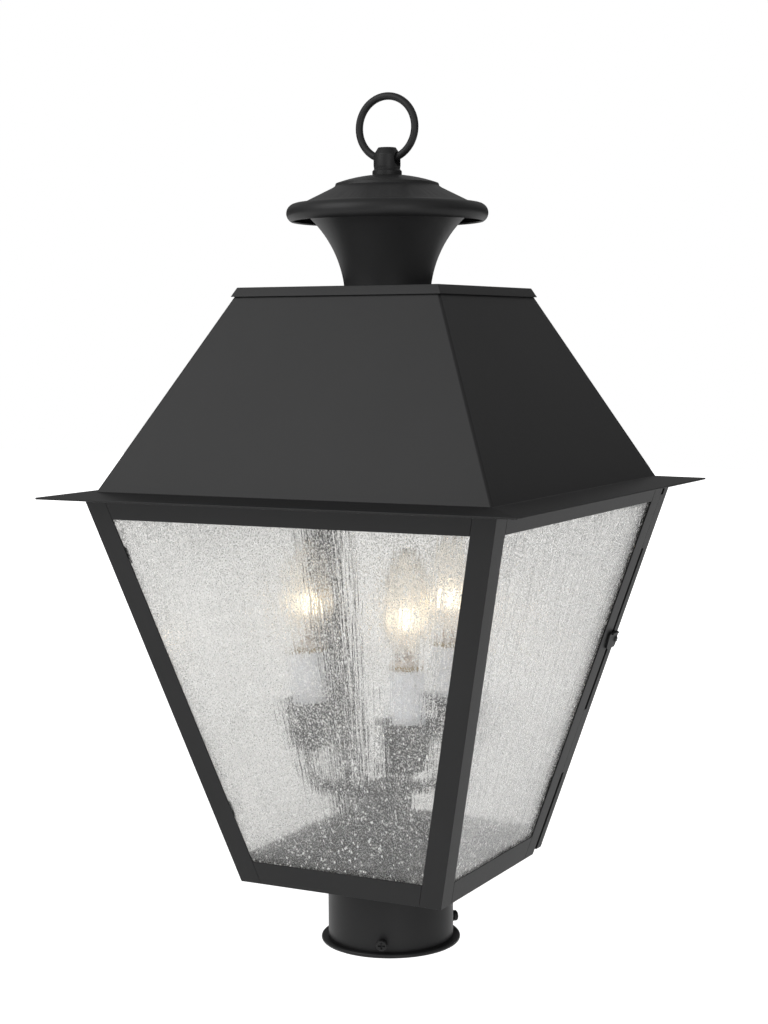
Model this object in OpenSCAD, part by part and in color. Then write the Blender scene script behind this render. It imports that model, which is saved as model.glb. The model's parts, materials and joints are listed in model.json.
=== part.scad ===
// Square post-top lantern: a tapered cage of sheet metal and seeded glass on a
// round post collar, with a hipped roof, a flared chimney under a spun cap, a
// lifting ring, a hinged back door and a cluster of three candle lights.
// Millimetres, +Z up. The origin is on the collar's axis, at its lower face.
// The front faces -Y, the door is at the back (+Y).

/* [Cage] */
// Width across the cage at its upper edge
cage_top_w = 279.2; // [235:0.1:340]
// Width across the cage at its lower edge
cage_bottom_w = 142.2; // [120:0.1:190]
// Height of the cage
cage_h = 251.3; // [205:0.1:305]
// Thickness of the sheet metal
sheet_t = 1.2; // [0.9:0.1:1.6]
// Width of each flange of a corner post
post_w = 15; // [12:0.5:20]
// Height of the bottom rails
bottom_rail_h = 15.2; // [12:0.1:20]
// Height of the top rails
top_rail_h = 14.7; // [12:0.1:20]
// Inward lip of the top rails, under the roof
top_lip_w = 9; // [6:0.5:12]

/* [Glass] */
// Thickness of the glass panes
glass_t = 3; // [2:0.1:3.5]
// How far a pane runs in behind a post
glass_lap = 9; // [7:0.5:9]
// Height of a glass clip
clip_h = 10; // [6:0.5:16]

/* [Roof] */
// Height of the roof panels
roof_h = 124.1; // [100:0.1:150]
// Width across the roof panels at their upper edge
roof_top_w = 138; // [114:0.1:168]
// How far the roof's lower fold stands in from the cage's edge
roof_inset = 5.7; // [3:0.1:8]
// Width of the brim
brim_w = 26.3; // [18:0.1:34]
// Droop of the brim, in degrees
brim_droop = 5.2; // [2:0.1:8]
// Height of the skirt round the roof pan
pan_skirt_h = 5.8; // [4:0.1:9]

/* [Chimney] */
// Outer diameter of the chimney neck at its foot
neck_d = 55.4; // [46:0.1:66]
// Radius of the neck's flare
neck_flare_r = 72; // [60:1:86]
// Height of the cap's rim above the roof pan, to the middle of its bead
cap_rise = 47.2; // [42:0.1:56]
// Diameter over the cap's rim
cap_d = 128.8; // [112:0.1:154]
// Radius of the bead round the cap's rim
cap_bead_r = 6.2; // [5:0.1:7.4]
// Diameter of the step at the top of the cap
cap_step_d = 70; // [60:0.1:84]
// Height of the cap's cone, from the bead to the step
cap_cone_h = 9; // [7:0.1:11]
// Height of the step
cap_step_h = 3; // [2:0.1:4]
// Height of the dome above the step
cap_dome_h = 5.1; // [4:0.1:6.5]
// Diameter of the threaded rod that holds the cap
rod_d = 6; // [5:0.1:7]

/* [Finial and ring] */
// Diameter of the finial's body
finial_d = 17.2; // [15:0.1:20]
// Height of the finial
finial_h = 17.4; // [16:0.1:20]
// Diameter of the ring's wire
ring_wire_d = 4.75; // [4:0.05:5.5]
// Diameter of the ring at the middle of its wire
ring_d = 39.6; // [34:0.1:48]

/* [Post collar] */
// Inner diameter of the collar, which goes over the post
collar_bore_d = 78.6; // [70:0.1:94]
// Wall of the collar
collar_wall = 1.7; // [1.5:0.1:2.5]
// Height of the collar under the cage
collar_h = 46.8; // [39:0.1:56]
// Width of the collar's lower lip
collar_lip_w = 4.6; // [4:0.1:6]
// Thickness of the collar's lower lip
collar_lip_t = 3; // [2.5:0.1:4]
// Width of the collar's upper flange
collar_flange_w = 8; // [7.5:0.1:9]
// Height of the set screws' axes above the collar's lower face
screw_z = 9; // [8:0.5:14]
// Diameter of a set screw's shank
screw_d = 5; // [4:0.1:6]
// Diameter of a set screw's head
screw_head_d = 7; // [6:0.1:8]

/* [Candles] */
// Radius of the circle on which the candles stand
candle_r = 56; // [50:0.5:64]
// Turn of the first candle from the front, in degrees
candle_turn = 39; // [30:1:45]
// Height of the candle arms above the bottom plate
arm_rise = 47.8; // [42:0.1:56]
// Outer diameter of an arm
arm_d = 8; // [7:0.1:9]
// Bend radius of an arm
arm_bend_r = 18; // [15:0.5:22]
// Height of a cup's floor above the arms
cup_rise = 28; // [24:0.1:33]
// Diameter of a cup's rim
cup_d = 37; // [33:0.1:44]
// Height of a cup
cup_h = 31; // [26:0.1:36]
// Outer diameter of a candle sleeve
sleeve_d = 22; // [20.8:0.1:23]
// Height of a candle sleeve
sleeve_h = 62.1; // [52:0.1:74]
// Diameter of a bulb socket
socket_d = 18; // [17:0.1:18.4]
// Diameter of a bulb's screw base
bulb_base_d = 12; // [10:0.1:13]
// Largest diameter of a bulb
bulb_d = 32; // [27:0.1:38]
// Height of a bulb's glass
bulb_h = 71; // [60:0.1:84]

/* [Door] */
// Depth of the door's frame
door_depth = 7.1; // [6.5:0.1:9]
// Depth of the recess between the cage and the door's frame
door_recess = 3.7; // [3:0.1:4.5]
// Clearance between the cage and the door
door_gap = 0.4; // [0.3:0.1:0.8]
// Radius of a hinge knuckle
knuckle_r = 2.5; // [2.3:0.1:2.6]
// Height of a hinge
hinge_h = 40; // [32:1:48]
// Reach of the latch's plate from its rivet, over the corner post
latch_reach = 13; // [10:0.5:16]
// Height of the latch's plate
latch_h = 11.5; // [8:0.5:16]

/* [Hidden] */
$fn = 64;

// Sides of the cage, as quarter turns from the front
FRONT = 0;
RIGHT = 1;
BACK = 2;
LEFT = 3;

// Clearances, all radial or face to face
fit = 0.05;   // a shank or shaft in its hole
seat = 0.1;   // between two sheets that lie on each other
touch = 0.02; // between a leaning pane and what it lies against
loose = 0.3;  // between pieces that move past each other
reach = 400;  // longer than any piece, for cutting

// Heights of the main levels
cage_z = collar_h;
cage_top = cage_z + cage_h;
plate_z = cage_z + sheet_t;
plate_top = plate_z + sheet_t;

// Lean of the cage's faces
slope = (cage_top_w - cage_bottom_w) / 2 / cage_h;
lean = atan(slope);
// Horizontal length of one millimetre through a leaning sheet
skew = 1 / cos(lean);

// Half-width of the cage at a height
function half(z) = cage_bottom_w / 2 + (z - cage_z) * slope;

// Cross-section of a leaning sheet, as [outward, up] points: between two
// heights and between two depths measured outward from the cage's face
function wall(z0, z1, n0, n1) = [
    [half(z0) + n0 * skew, z0], [half(z1) + n0 * skew, z1],
    [half(z1) + n1 * skew, z1], [half(z0) + n1 * skew, z0],
];
// Outline of a full face, as [sideways, up] points, set in from both edges
function face(z0, z1, inset) = [
    [-half(z0) + inset, z0], [half(z0) - inset, z0],
    [half(z1) - inset, z1], [-half(z1) + inset, z1],
];
// Outline of a strip along a face's right edge (side = 1) or left edge (-1)
function edge_strip(z0, z1, inset, w, side) = [
    [side * (half(z0) - inset - w), z0], [side * (half(z0) - inset), z0],
    [side * (half(z1) - inset), z1], [side * (half(z1) - inset - w), z1],
];
// Points along an arc
function arc(cx, cy, r, a0, a1, n) = [
    for (i = [0:n]) [cx + r * cos(a0 + (a1 - a0) * i / n), cy + r * sin(a0 + (a1 - a0) * i / n)]
];

// A cross-section swept along one side, all its length
module sweep(side, section) {
    rotate([0, 0, 90 * side]) rotate([90, 0, -90]) linear_extrude(2 * reach, center = true) polygon(section);
}
// The part of one side that an outline leaves
module cutout(side, outline) {
    rotate([0, 0, 90 * side]) rotate([90, 0, 0]) linear_extrude(reach) polygon(outline);
}
// The quarter of the plan that belongs to one side, for mitred corners
module quarter(side) {
    rotate([0, 0, 90 * side]) linear_extrude(2 * reach) polygon([[0, 0], [-reach, -reach], [reach, -reach]]);
}
// A piece of sheet on one side: a cross-section inside an outline
module sheet(side, section, outline) {
    intersection() {
        sweep(side, section);
        cutout(side, outline);
    }
}
module mitred(side, section) {
    intersection() {
        sweep(side, section);
        quarter(side);
    }
}
// A bar that runs up the corner between a side and the next one
module corner_bar(side, section_a, section_b) {
    intersection() {
        sweep(side, section_a);
        sweep((side + 1) % 4, section_b);
    }
}

steel = [0.12, 0.12, 0.125];
roof_black = [0.16, 0.16, 0.165];
pane = [0.82, 0.84, 0.85, 0.45];
brass = [0.72, 0.58, 0.32];
ivory = [0.88, 0.89, 0.92];

// ---------------------------------------------------------------- collar
collar_r = collar_bore_d / 2 + collar_wall;
flange_r = collar_r + collar_flange_w;
rivet_r = collar_r + collar_flange_w / 2;
rivet_d = 3;
rivet_head_r = 2.6;
rivet_head_h = 1;
rivets = 4;
screws = 3;
screw_turn = 20;
// Distance of a screw's tip from the axis, clear of the bore
screw_tip_r = collar_bore_d / 2 + loose;
screw_head_r = collar_r + 3.6;
screw_head_h = 3;
recess_w = 1;
recess_l = 4.4;
recess_t = 1.4;

module post_collar() {
    bead_r = collar_lip_t / 2;
    color(steel) difference() {
        union() {
            rotate_extrude() union() {
                translate([collar_bore_d / 2, 0]) square([collar_wall, plate_z]);
                translate([collar_bore_d / 2, 0]) square([collar_wall + collar_lip_w - bead_r, collar_lip_t]);
                translate([collar_r + collar_lip_w - bead_r, bead_r]) circle(bead_r);
                translate([collar_bore_d / 2, cage_z]) square([collar_wall + collar_flange_w, sheet_t]);
            }
        }
        for (i = [0:rivets - 1]) rotate([0, 0, 45 + 90 * i]) translate([rivet_r, 0, cage_z - 1])
            cylinder(h = sheet_t + 2, d = rivet_d + 2 * fit);
        for (i = [0:screws - 1]) rotate([0, 0, screw_turn + 120 * i])
            translate([0, 0, screw_z]) rotate([90, 0, 0]) translate([0, 0, collar_bore_d / 2 - 2])
                cylinder(h = collar_wall + 4, d = screw_d + 2 * fit);
    }
}

module set_screw(i) {
    color(steel) rotate([0, 0, screw_turn + 120 * i]) translate([0, 0, screw_z]) rotate([90, 0, 0]) difference() {
        union() {
            translate([0, 0, screw_tip_r]) cylinder(h = screw_head_r - screw_tip_r, d = screw_d);
            translate([0, 0, screw_head_r]) cylinder(h = screw_head_h - 0.6, d = screw_head_d);
            translate([0, 0, screw_head_r + screw_head_h - 0.6])
                cylinder(h = 0.6, r1 = screw_head_d / 2, r2 = screw_head_d / 2 - 0.6);
        }
        for (a = [0, 90]) rotate([0, 0, a]) translate([-recess_l / 2, -recess_w / 2, screw_head_r + screw_head_h - recess_t])
            cube([recess_l, recess_w, recess_t + 1]);
    }
}

// ---------------------------------------------------------------- floor
wire_hole_d = 10.4;
base_r = 24;
base_t = 2.5;
base_screw_r = 18;
base_screws = 3;
base_screw_d = 3;
base_screw_head_r = 2.8;

// Half-width of the bottom plate, just inside the rails
plate_half = half(plate_z) - sheet_t * skew - seat;

module bottom_plate() {
    color(steel) difference() {
        translate([-plate_half, -plate_half, plate_z]) cube([2 * plate_half, 2 * plate_half, sheet_t]);
        translate([0, 0, plate_z - 1]) cylinder(h = sheet_t + 2, d = wire_hole_d);
        for (i = [0:rivets - 1]) rotate([0, 0, 45 + 90 * i]) translate([rivet_r, 0, plate_z - 1])
            cylinder(h = sheet_t + 2, d = rivet_d + 2 * fit);
        for (i = [0:base_screws - 1]) rotate([0, 0, 120 * i]) translate([base_screw_r, 0, plate_z - 1])
            cylinder(h = sheet_t + 2, d = base_screw_d + 2 * fit);
    }
}

module plate_fasteners() {
    color(steel) {
        // Rivets that join the collar's flange to the bottom plate
        for (i = [0:rivets - 1]) rotate([0, 0, 45 + 90 * i]) translate([rivet_r, 0, 0]) {
            translate([0, 0, cage_z - rivet_head_h]) cylinder(h = rivet_head_h, r = rivet_head_r);
            translate([0, 0, cage_z]) cylinder(h = 2 * sheet_t, d = rivet_d);
            translate([0, 0, plate_top]) cylinder(h = rivet_head_h, r = rivet_head_r);
        }
        // Screws that hold the candle cluster's base to the bottom plate
        for (i = [0:base_screws - 1]) rotate([0, 0, 120 * i]) translate([base_screw_r, 0, 0]) {
            translate([0, 0, plate_z]) cylinder(h = sheet_t + base_t, d = base_screw_d);
            translate([0, 0, plate_top + base_t]) cylinder(h = 1.8, r1 = base_screw_head_r, r2 = base_screw_head_r - 0.8);
        }
    }
}

// ---------------------------------------------------------------- cage
module corner_post(side) {
    strip = wall(cage_z, cage_top, -sheet_t, 0);
    color(steel) union() {
        sheet(side, strip, edge_strip(cage_z, cage_top, 0, post_w, 1));
        sheet((side + 1) % 4, strip, edge_strip(cage_z, cage_top, 0, post_w, -1));
    }
}

// Inner edge of the bottom rails' lips, clear of the collar's flange
lip_edge = flange_r + 2;

module bottom_rail(side) {
    under = half(cage_z) - sheet_t * skew;
    over = half(plate_z) - sheet_t * skew;
    color(steel) intersection() {
        union() {
            sweep(side, wall(cage_z, cage_z + bottom_rail_h, -sheet_t, 0));
            sweep(side, [[lip_edge, cage_z], [under + 0.5, cage_z], [over + 0.5, plate_z], [lip_edge, plate_z]]);
        }
        cutout(side, face(cage_z, cage_z + bottom_rail_h, post_w));
        quarter(side);
    }
}

module top_rail(side) {
    z0 = cage_top - top_rail_h;
    z_lip = cage_top - sheet_t;
    inner = half(cage_top) - sheet_t * skew;
    color(steel) intersection() {
        union() {
            sweep(side, wall(z0, cage_top, -sheet_t, 0));
            sweep(side, [
                [inner - top_lip_w, z_lip], [inner + 0.3, z_lip],
                [inner + 0.3, cage_top], [inner - top_lip_w, cage_top],
            ]);
        }
        cutout(side, face(z0, cage_top, post_w));
    }
}

// ---------------------------------------------------------------- glass
pane_z0 = plate_top + seat;
pane_z1 = cage_top - sheet_t - 4.8;
pane_inset = post_w - glass_lap;
clip_t = 0.8;
clip_leaf = 14;
clip_low_z = cage_z + 45;
clip_high_z = cage_top - 42;

module glass(side) {
    color(pane) sheet(side, wall(pane_z0, pane_z1, -sheet_t - touch - glass_t, -sheet_t - touch),
        face(pane_z0, pane_z1, pane_inset));
}

// One clip: a block in the post's corner with a leaf over each pane beside it
module glass_clip(side, z, on_this, on_next) {
    deep = sheet_t + glass_t + 2 * touch;
    leaf = wall(z, z + clip_h, -deep - clip_t, -deep);
    wide = wall(z, z + clip_h, -clip_leaf, -deep);
    nose = wall(z, z + clip_h, -deep - clip_t, -sheet_t - touch);
    union() {
        corner_bar(side, nose, nose);
        if (on_this) corner_bar(side, leaf, wide);
        if (on_next) corner_bar(side, wide, leaf);
    }
}

module glass_clips() {
    color(steel) for (z = [clip_low_z, clip_high_z]) {
        glass_clip(FRONT, z, true, true);
        glass_clip(RIGHT, z, true, false);
        glass_clip(BACK, z, false, true);
        glass_clip(LEFT, z, true, true);
    }
}

// ---------------------------------------------------------------- roof
roof_base_half = cage_top_w / 2 - roof_inset;
roof_top_half = roof_top_w / 2;
roof_lean = atan((roof_base_half - roof_top_half) / roof_h);
// Outer height of the fold, which rests the brim on the cage's upper edge
fold_z = cage_top + seat + sheet_t / cos(brim_droop) + roof_inset * tan(brim_droop);
pan_z = fold_z + roof_h;
pan_top = pan_z + sheet_t;
// Inner corner of the fold
fold_in = sheet_t * (tan(roof_lean) / cos(brim_droop) - 1 / cos(roof_lean))
    / (1 - tan(brim_droop) * tan(roof_lean));
brim_edge = roof_base_half + brim_w;
brim_edge_z = fold_z - brim_w * tan(brim_droop);

module roof_panel(side) {
    color(roof_black) mitred(side, [
        [brim_edge, brim_edge_z],
        [roof_base_half, fold_z],
        [roof_top_half, pan_z],
        [roof_top_half - sheet_t / cos(roof_lean), pan_z],
        [roof_base_half + fold_in, fold_z - sheet_t / cos(brim_droop) - fold_in * tan(brim_droop)],
        [brim_edge, brim_edge_z - sheet_t / cos(brim_droop)],
    ]);
}

// Half-width of the roof's outer face, and of the pan's skirt over it
function roof_half(z) = roof_top_half + (pan_z - z) * tan(roof_lean);
function skirt_half(z) = roof_half(z) + seat + sheet_t / cos(roof_lean);
pan_hole_r = neck_d / 2 - 4;

module roof_pan() {
    low = pan_top - pan_skirt_h;
    color(roof_black) difference() {
        union() {
            for (side = [FRONT, RIGHT, BACK, LEFT]) mitred(side, [
                [0, pan_z], [roof_half(pan_z) + seat, pan_z], [roof_half(low) + seat, low],
                [skirt_half(low), low], [skirt_half(pan_top), pan_top], [0, pan_top],
            ]);
        }
        translate([0, 0, pan_z - 1]) cylinder(h = sheet_t + 2, r = pan_hole_r);
    }
}

// ---------------------------------------------------------------- chimney
neck_from = 6;
neck_to = 46;
neck_foot_w = 7;
neck_cx = neck_d / 2 + neck_flare_r * cos(neck_from);
neck_cz = pan_top - neck_flare_r * sin(neck_from);

module chimney_neck() {
    outer = arc(neck_cx, neck_cz, neck_flare_r, 180 - neck_from, 180 - neck_to, 14);
    inner = arc(neck_cx, neck_cz, neck_flare_r + sheet_t, 180 - neck_to, 180 - neck_from, 14);
    foot_in = neck_d / 2 - neck_foot_w;
    color(steel) rotate_extrude() union() {
        polygon(concat(outer, inner));
        translate([foot_in, pan_top]) square([neck_foot_w - 0.4, sheet_t]);
    }
}

rim_z = pan_top + cap_rise;
rim_c = cap_d / 2 - cap_bead_r;
bead_top_z = rim_z + cap_bead_r;
cone_foot_r = rim_c - 5;
cone_foot_z = bead_top_z + 0.7;
step_z = cone_foot_z + cap_cone_h;
dome_r0 = cap_step_d / 2 - 2.3;
dome_z0 = step_z + cap_step_h;
crown_r = 10;
dome_curve_r = (pow(dome_r0, 2) + pow(cap_dome_h + 0.5, 2)) / (2 * (cap_dome_h + 0.5));
dome_cz = dome_z0 + cap_dome_h + 0.5 - dome_curve_r;
cap_top = dome_cz + sqrt(pow(dome_curve_r, 2) - pow(crown_r, 2));

module chimney_cap() {
    t = sheet_t;
    bore_r = rod_d / 2 + fit;
    dome_from = acos(dome_r0 / dome_curve_r);
    dome_to = acos(crown_r / dome_curve_r);
    outer = concat(
        arc(rim_c, rim_z, cap_bead_r, -60, 90, 12),
        [[cone_foot_r, cone_foot_z], [cap_step_d / 2, step_z], [cap_step_d / 2 - 1.7, step_z + 1.2]],
        arc(0, dome_cz, dome_curve_r, dome_from, dome_to, 6),
        [[bore_r, cap_top]]
    );
    inner = concat(
        [[bore_r, cap_top - t]],
        arc(0, dome_cz, dome_curve_r - t, dome_to, dome_from + 0.4, 6),
        [[cap_step_d / 2 - 3, step_z + 0.4], [cap_step_d / 2 - 0.9, step_z - t], [cone_foot_r - 0.5, cone_foot_z - t]],
        arc(rim_c, rim_z, cap_bead_r - t, 90, -60, 12)
    );
    color(steel) rotate_extrude() polygon(concat(outer, inner));
}

bar_l = 2 * (pan_hole_r + 8);
bar_w = 14;
bar_t = 3;
nut_af = 10;
nut_h = 5;
rod_bottom = pan_z - bar_t - nut_h - 2;
rod_top = cap_top + 5;

module hex(h, af, bore) {
    difference() {
        cylinder(h = h, r = af / 2 / cos(30), $fn = 6);
        translate([0, 0, -1]) cylinder(h = h + 2, d = bore);
    }
}

module bridge_bar() {
    color(steel) difference() {
        translate([-bar_l / 2, -bar_w / 2, pan_z - bar_t]) cube([bar_l, bar_w, bar_t]);
        translate([0, 0, pan_z - bar_t - 1]) cylinder(h = bar_t + 2, d = rod_d + 2 * fit);
    }
}

module cap_rod() {
    color(steel) translate([0, 0, rod_bottom]) cylinder(h = rod_top - rod_bottom, d = rod_d);
}

module rod_nuts() {
    color(steel) for (z = [pan_z - bar_t - nut_h, pan_z, cap_top - sheet_t - nut_h])
        translate([0, 0, z]) hex(nut_h, nut_af, rod_d + 2 * fit);
}

// ---------------------------------------------------------------- finial and ring
collar_disc_r = finial_d / 2 + 0.8;
ring_pin_z = cap_top + 10.1;
ring_r = ring_d / 2;
wire_r = ring_wire_d / 2;
// The ring's wire is curved where it crosses the finial, so its hole flares
hole_mid_r = wire_r + 0.45;
hole_end_r = wire_r + ring_r - sqrt(pow(ring_r, 2) - pow(finial_d / 2 + 0.4, 2)) + 0.35;

module finial() {
    r = finial_d / 2;
    top = cap_top + finial_h;
    color(steel) difference() {
        rotate_extrude() polygon([
            [0, cap_top], [collar_disc_r, cap_top], [collar_disc_r, cap_top + 2.6],
            [r - 0.35, cap_top + 3.8], [r, cap_top + 6], [r, top - 4.6], [r - 1, top - 3],
            [r - 2.95, top], [0, top],
        ]);
        translate([0, 0, cap_top - 1]) cylinder(h = rod_top - cap_top + 1 + loose, d = rod_d + 2 * fit);
        for (side = [90, -90]) translate([0, 0, ring_pin_z]) rotate([0, side, 0])
            cylinder(h = r + 0.4, r1 = hole_mid_r, r2 = hole_end_r);
    }
}

module ring() {
    color(steel) translate([0, 0, ring_pin_z + ring_r]) rotate([90, 0, 0])
        rotate_extrude() translate([ring_r, 0]) circle(wire_r);
}

// ---------------------------------------------------------------- candles
column_d = 16;
hub_r = 13;
hub_half_h = 9;
arm_z = plate_top + arm_rise;
arm_in = 8;
arm_wall = 1;
cup_z = arm_z + cup_rise;
cup_wall = 1.2;
cup_floor_r = sleeve_d / 2 + 0.8;
arm_top = cup_z + cup_wall + 4;
arm_collar_h = 2.5;
arm_collar_r = arm_d / 2 + 2.5;
socket_z = cup_z + cup_wall;
sleeve_top = socket_z + sleeve_h;
socket_top = sleeve_top + 3;
socket_bore_l = 24;
bulb_base_l = 22;
shoulder_h = 2.4;
shoulder_r = socket_d / 2 - 1.2;
bulb_z = socket_top + shoulder_h;

module at_candle(i) {
    rotate([0, 0, candle_turn + 120 * i]) translate([0, -candle_r, 0]) children();
}

module cluster_base() {
    top = plate_top + base_t;
    color(steel) difference() {
        rotate_extrude() polygon([
            [wire_hole_d / 2, plate_top], [base_r, plate_top], [base_r, top - 0.8], [base_r - 0.8, top],
            [column_d / 2 + 3, top], [column_d / 2 + 3, top + 5], [column_d / 2 + fit, top + 6],
            [column_d / 2 + fit, top - 0.5], [wire_hole_d / 2, top - 0.5],
        ]);
        for (i = [0:base_screws - 1]) rotate([0, 0, 120 * i]) translate([base_screw_r, 0, plate_top - 1])
            cylinder(h = base_t + 2, d = base_screw_d + 2 * fit);
    }
}

column_z = plate_top + base_t - 0.5;
module cluster_column() {
    color(steel) translate([0, 0, column_z]) difference() {
        cylinder(h = arm_z - hub_half_h - column_z, d = column_d);
        translate([0, 0, -1]) cylinder(h = arm_z, d = wire_hole_d);
    }
}

module cluster_hub() {
    color(steel) difference() {
        rotate_extrude() polygon(concat(
            [[0, arm_z - hub_half_h], [hub_r - 3, arm_z - hub_half_h]],
            arc(hub_r - 3, arm_z - hub_half_h + 3, 3, -90, 0, 4),
            arc(hub_r - 3, arm_z + hub_half_h - 3, 3, 0, 90, 4),
            [[5, arm_z + hub_half_h], [4, arm_z + hub_half_h + 2]],
            arc(0, arm_z + hub_half_h + 6.5, 5.5, -50, 90, 8)
        ));
        for (i = [0:2]) rotate([0, 0, candle_turn + 120 * i]) translate([0, 0, arm_z]) rotate([90, 0, 0])
            translate([0, 0, arm_in]) cylinder(h = hub_r, d = arm_d + 2 * fit);
    }
}

// The path of an arm: out from the hub, round a quarter bend and up
module arm_path(d) {
    straight = candle_r - arm_bend_r - arm_in;
    translate([0, candle_r - arm_in, arm_z]) rotate([90, 0, 0]) cylinder(h = straight, d = d);
    translate([0, arm_bend_r, arm_z + arm_bend_r]) rotate([90, 0, -90]) rotate([0, 0, 270])
        rotate_extrude(angle = 90) translate([arm_bend_r, 0]) circle(d = d);
    translate([0, 0, arm_z + arm_bend_r]) cylinder(h = arm_top - arm_z - arm_bend_r, d = d);
}

module candle_arms() {
    color(steel) for (i = [0:2]) at_candle(i) difference() {
        union() {
            arm_path(arm_d);
            translate([0, 0, cup_z - arm_collar_h]) cylinder(h = arm_collar_h, r = arm_collar_r);
        }
        arm_path(arm_d - 2 * arm_wall);
    }
}

module candle_cups() {
    rim_r = cup_d / 2;
    top = cup_z + cup_h;
    color(steel) for (i = [0:2]) at_candle(i) rotate_extrude() union() {
        polygon([
            [arm_d / 2 + fit, cup_z], [cup_floor_r - 1, cup_z], [cup_floor_r + 0.9, cup_z + 2.4],
            [cup_floor_r + 2.9, cup_z + cup_h * 0.45], [rim_r - 1, top - 1], [rim_r - 1 - cup_wall, top - 1],
            [cup_floor_r + 1.7, cup_z + cup_h * 0.45], [cup_floor_r - 0.2, cup_z + cup_wall + 1.4],
            [cup_floor_r - 0.4, cup_z + cup_wall], [arm_d / 2 + fit, cup_z + cup_wall],
        ]);
        translate([rim_r - 1.1, top - 1.1]) circle(1.1);
    }
}

module candle_sleeves() {
    color(ivory) for (i = [0:2]) at_candle(i) translate([0, 0, socket_z]) difference() {
        cylinder(h = sleeve_h, d = sleeve_d);
        translate([0, 0, -1]) cylinder(h = sleeve_h + 2, d = socket_d + 2 * loose);
    }
}

module bulb_sockets() {
    color(brass) for (i = [0:2]) at_candle(i) difference() {
        translate([0, 0, socket_z]) cylinder(h = socket_top - socket_z, d = socket_d);
        translate([0, 0, socket_z - 1]) cylinder(h = arm_top - socket_z + 1.5, d = arm_d + 2 * fit);
        translate([0, 0, socket_top - socket_bore_l]) cylinder(h = socket_bore_l + 1, d = bulb_base_d + 2 * fit);
    }
}

module bulb_base(i) {
    color(brass) at_candle(i) {
        translate([0, 0, socket_top - bulb_base_l - 1.4]) cylinder(h = 1.4, r = 2.5);
        translate([0, 0, socket_top - bulb_base_l]) cylinder(h = bulb_base_l, d = bulb_base_d);
        translate([0, 0, socket_top]) cylinder(h = shoulder_h, r = shoulder_r);
    }
}

bulb_neck_r = 6.4;
bulb_belly_z = bulb_h * 0.37;
bulb_wall = 0.8;
// Radius of a bulb's glass at a height above its neck: a smooth shoulder up to
// the belly, then a blunt flame
function bulb_radius(z) = z < bulb_belly_z
    ? bulb_neck_r + (bulb_d / 2 - bulb_neck_r) * (1 - cos(180 * z / bulb_belly_z)) / 2
    : bulb_d / 2 * pow(max(0, 1 - pow((z - bulb_belly_z) / (bulb_h - bulb_belly_z), 2)), 0.62);

module bulb_glass(i) {
    steps = 20;
    zs = [for (k = [0:steps]) bulb_h * (1 - pow(1 - k / steps, 1.35))];
    outer = [for (k = [0:steps - 1]) [bulb_radius(zs[k]), bulb_z + zs[k]]];
    shrink = (bulb_h - bulb_wall) / bulb_h;
    inner = [for (k = [steps - 1:-1:0]) [bulb_radius(zs[k]) - bulb_wall, bulb_z + zs[k] * shrink]];
    color([0.95, 0.93, 0.85, 0.4]) at_candle(i) rotate_extrude()
        polygon(concat(outer, [[0, bulb_z + bulb_h], [0, bulb_z + bulb_h * shrink]],
            [for (p = inner) if (p[0] > 0.4) p]));
}

// ---------------------------------------------------------------- door
door_z0 = plate_top + 0.1;
door_z1 = cage_top - 5.2;
door_in = door_gap + door_recess;
door_out = door_in + door_depth;
door_edge = 0.2;
leg_inset = 3;
return_w = 4.2;
pane_door_out = door_out - sheet_t - touch;
pane_door_in = pane_door_out - glass_t;

// One member of the door's frame: a folded channel round the door's outline
module door_tray() {
    z0 = door_z0;
    z1 = door_z1;
    difference() {
        sheet(BACK, wall(z0, z1, door_in, door_out), face(z0, z1, door_edge));
        door_hollow(door_in + sheet_t, door_out - sheet_t, sheet_t);
        door_hollow(door_in - 1, door_in + sheet_t + 0.5, return_w);
        door_hollow(door_out - sheet_t - 0.5, door_out + 1, post_w - door_edge);
    }
    difference() {
        door_layer(door_gap, door_in + 0.5, leg_inset);
        door_hollow(door_gap - 1, door_in + 1, leg_inset + sheet_t);
    }
}
// A full layer of the door between two depths, set in from its outline
module door_layer(n0, n1, inset) {
    sheet(BACK, wall(door_z0 + inset, door_z1 - inset, n0, n1),
        face(door_z0 + inset, door_z1 - inset, door_edge + inset));
}
module door_hollow(n0, n1, inset) {
    door_layer(n0, n1, inset);
}
// The strip of the door's depth that belongs to a stile
module stile_zone(side) {
    cutout(BACK, edge_strip(door_z0, door_z1, 0, post_w, side));
}

// Zones where the latch stile's leg comes out flush, to seat against the post
seat_tabs = [[cage_z + 54, cage_z + 96], [cage_top - 47.3, cage_top - 11.3]];

module door_stile(side) {
    color(steel) union() {
        intersection() {
            door_tray();
            stile_zone(side);
        }
        if (side < 0) for (tab = seat_tabs)
            sheet(BACK, wall(tab[0], tab[1], door_gap, door_in + 0.5),
                edge_strip(tab[0], tab[1], door_edge, leg_inset + 0.5, side));
    }
}

module door_rail(z0, z1) {
    color(steel) intersection() {
        door_tray();
        cutout(BACK, face(z0, z1, post_w));
    }
}

module glass_door() {
    inset = 2.2;
    color(pane) sheet(BACK, wall(door_z0 + inset, door_z1 - inset, pane_door_in, pane_door_out),
        face(door_z0 + inset, door_z1 - inset, door_edge + inset));
}

// Wedges between the door's pane and its folded return
module door_clips() {
    color(steel) for (z = [clip_low_z, clip_high_z]) for (side = [-1, 1])
        sheet(BACK, wall(z, z + clip_h, door_in + sheet_t, pane_door_in),
            edge_strip(z, z + clip_h, door_edge + 1.5, 5, side));
}

// ---------------------------------------------------------------- hinges
// The pin's line runs parallel to the corner, outside it and behind the cage
pin_out = knuckle_r + 0.15;
pin_back = door_gap + 1.6;
pin_r = 1.25;
corner_lean = atan(slope * sqrt(2));
leaf_t = 1;
knuckle_gap = 0.3;
hinge_zs = [cage_z + 40, cage_top - 40 - hinge_h];
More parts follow.
